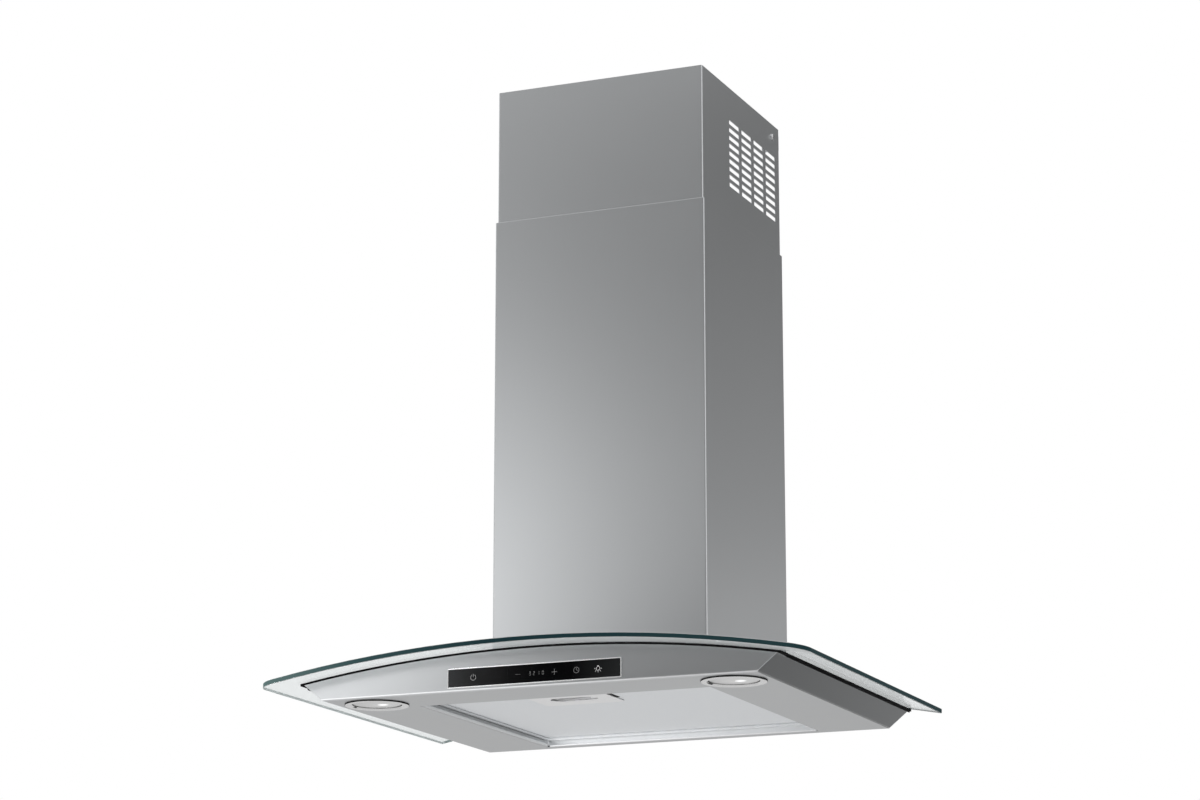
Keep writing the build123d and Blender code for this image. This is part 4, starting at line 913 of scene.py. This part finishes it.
def latch_bow(look):
    low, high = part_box("latch_spring")
    half = SPRING_GAUGE / 2
    reach = (high.x - low.x) / 2 - half
    sag = high.y - low.y - SPRING_GAUGE
    radius = (reach * reach + sag * sag) / (2 * sag)
    x, y = (low.x + high.x) / 2, low.y + half + radius
    turns = [asin(reach / radius) * (2 * i / SPRING_STEPS - 1) for i in range(SPRING_STEPS + 1)]
    outline = [(x + (radius + half) * sin(t), y - (radius + half) * cos(t)) for t in turns]
    outline += [(x + (radius - half) * sin(t), y - (radius - half) * cos(t)) for t in turns[::-1]]
    piece = flat_shape("latch_spring_bow", look, [outline], high.z - low.z, "filter")
    level = (low.z + high.z) / 2
    piece.location = (0, 0, level)
    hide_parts("latch_spring")
    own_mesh(piece)


latch_bow(spring_steel)


# Studio
def flat_piece(name, corners, look):
    shape = bpy.data.meshes.new(name)
    shape.from_pydata(corners, [], [tuple(range(len(corners)))])
    shape.materials.append(look.material)
    piece = bpy.data.objects.new(name, shape)
    scene.collection.objects.link(piece)
    return piece


def floor():
    look = Look("studio_floor", FLOOR_COLOR, roughness=FLOOR_ROUGHNESS)
    look.tint(look.noise(FLOOR_UNEVEN), FLOOR_SPREAD)
    rim = [(x, y, FLOOR_LEVEL) for x, y in circle(0, 0, FLOOR_RADIUS, FLOOR_STEPS)]
    flat_piece("studio_floor", rim, look)


# Studio cards. A card's tone is a sum of products: a curve along x times one along z, as (place, level).
# The curves end at the card's edges.
CARD_PEAK = 2.5  # highest level that a curve can have
FRONT_CARD_Y = -1.4
FRONT_CARD = (
    (
        [(-2.6, 1.0), (1.6, 1.0)],
        [(-1.75, 0.2), (-0.45, 0.16), (-0.14, 0.20), (0.08, 0.50), (0.32, 0.34), (0.53, 0.20), (0.66, 0.20),
         (0.80, 0.46), (1.2, 0.7), (2.6, 1.0)],
    ),
    (
        [(-2.6, 0.3), (-1.2, 0.5), (-0.95, 1.8), (-0.85, 2.0), (-0.70, 1.55), (-0.60, 0.95), (-0.47, 0.34),
         (-0.36, 0.0), (1.6, 0.0)],
        [(-1.75, 0.0), (-0.75, 0.0), (-0.4, 0.7), (0.0, 0.80), (0.2, 0.55), (0.4, 0.26), (0.6, 0.17),
         (0.8, 0.10), (1.2, 0.0), (2.6, 0.0)],
    ),
    (
        [(-2.6, 1.0), (-0.50, 1.0), (-0.32, 0.0), (0.30, 0.0), (0.60, 1.0), (1.6, 1.0)],
        [(-1.75, 0.8), (-0.95, 0.8), (-0.80, 1.7), (-0.62, 1.7), (-0.46, 0.0), (2.6, 0.0)],
    ),
)
FRONT_FLAG = (
    [(-2.6, 0.0), (-0.50, 0.0), (-0.43, 1.0), (-0.36, 1.0), (-0.26, 0.0), (1.6, 0.0)],
    [(-1.75, 0.0), (-0.36, 0.0), (-0.26, 1.0), (-0.08, 1.0), (0.0, 0.0), (2.6, 0.0)],
)
REAR_CARD_Y = 1.3
REAR_CARD = (
    (
        [(-2.6, 1.0), (-0.1, 1.0), (0.25, 0.0), (2.6, 0.0)],
        [(-1.75, 0.75), (-0.9, 0.70), (-0.6, 0.62), (-0.3, 0.62), (0.0, 0.9), (2.6, 1.0)],
    ),
    (
        [(-2.6, 0.0), (0.05, 0.0), (0.35, 1.0), (2.6, 1.0)],
        [(-1.75, 0.02), (-1.0, 0.10), (-0.84, 0.30), (-0.55, 0.36), (-0.40, 0.3), (0.03, 0.55), (0.17, 0.39),
         (0.31, 0.34), (0.45, 0.29), (0.6, 0.25), (0.7, 0.21), (0.85, 0.22), (1.2, 0.42), (2.6, 0.8)],
    ),
)


def tone_curve(look, value, stops):
    first, last = stops[0][0], stops[-1][0]
    levels = [((place - first) / (last - first), grey(level / CARD_PEAK)) for place, level in stops]
    return look.math("MULTIPLY", look.ramp(look.rise(value, first, last), levels), CARD_PEAK)


def card(name, y, tones, flag=None):
    """An upright card that only reflections see. A black flag may cover a part of it."""
    look = Look(name, grey(0))
    emission = look.node("Emission")
    x, _, z = look.axes()
    total = 0.0
    for across, upwards in tones:
        total = look.math("MULTIPLY_ADD", tone_curve(look, x, across), tone_curve(look, z, upwards), total)
    if flag:
        cover = look.math("MULTIPLY", tone_curve(look, x, flag[0]), tone_curve(look, z, flag[1]))
        total = look.math("MULTIPLY", total, look.math("SUBTRACT", 1.0, cover))
    look.link(total, emission.inputs["Strength"])
    look.link(emission.outputs[0], look.tree.nodes["Material Output"].inputs["Surface"])
    across, upwards = tones[0]
    left, right = across[0][0], across[-1][0]
    low, high = upwards[0][0], upwards[-1][0]
    piece = flat_piece(name, [(left, y, low), (right, y, low), (right, y, high), (left, y, high)], look)
    piece.visible_camera = False
    piece.visible_diffuse = False
    piece.visible_shadow = False
    piece.visible_transmission = False


def key_lamp():
    """A broad soft lamp from the upper left, for the matt pieces."""
    data = bpy.data.lights.new("key_lamp", "AREA")
    data.shape = "SQUARE"
    data.size = KEY_SIZE
    data.energy = KEY_POWER
    lamp = bpy.data.objects.new("key_lamp", data)
    scene.collection.objects.link(lamp)
    lamp.location = KEY_PLACE
    lamp.rotation_euler = Vector(KEY_PLACE).to_track_quat("Z", "Y").to_euler()
    lamp.visible_glossy = False


def surroundings():
    """White to the eye, in reflections and through glass, a little less as light on matt surfaces."""
    world = bpy.data.worlds.new("studio")
    scene.world = world
    world.use_nodes = True
    tree = world.node_tree
    background = tree.nodes["Background"]
    rays = tree.nodes.new("ShaderNodeLightPath")
    seen = rays.outputs["Is Camera Ray"]
    for kind in ("Is Glossy Ray", "Is Transmission Ray"):
        either = tree.nodes.new("ShaderNodeMath")
        either.operation = "MAXIMUM"
        tree.links.new(seen, either.inputs[0])
        tree.links.new(rays.outputs[kind], either.inputs[1])
        seen = either.outputs[0]
    tone = tree.nodes.new("ShaderNodeMapRange")
    tone.inputs["To Min"].default_value = SKY_LIGHT
    tone.inputs["To Max"].default_value = 1.0
    tree.links.new(seen, tone.inputs["Value"])
    background.inputs["Color"].default_value = (1, 1, 1, 1)
    tree.links.new(tone.outputs["Result"], background.inputs["Strength"])


floor()
card("front_card", FRONT_CARD_Y, FRONT_CARD, FRONT_FLAG)
card("rear_card", REAR_CARD_Y, REAR_CARD)
key_lamp()
surroundings()

camera = bpy.data.objects.new("camera", bpy.data.cameras.new("camera"))
scene.collection.objects.link(camera)
camera.location = CAMERA_PLACE
camera.rotation_euler = (radians(90 + CAMERA_PITCH), 0, radians(CAMERA_YAW))
camera.data.sensor_width = SENSOR_WIDTH
camera.data.sensor_fit = "HORIZONTAL"
camera.data.lens = CAMERA_LENS
scene.camera = camera
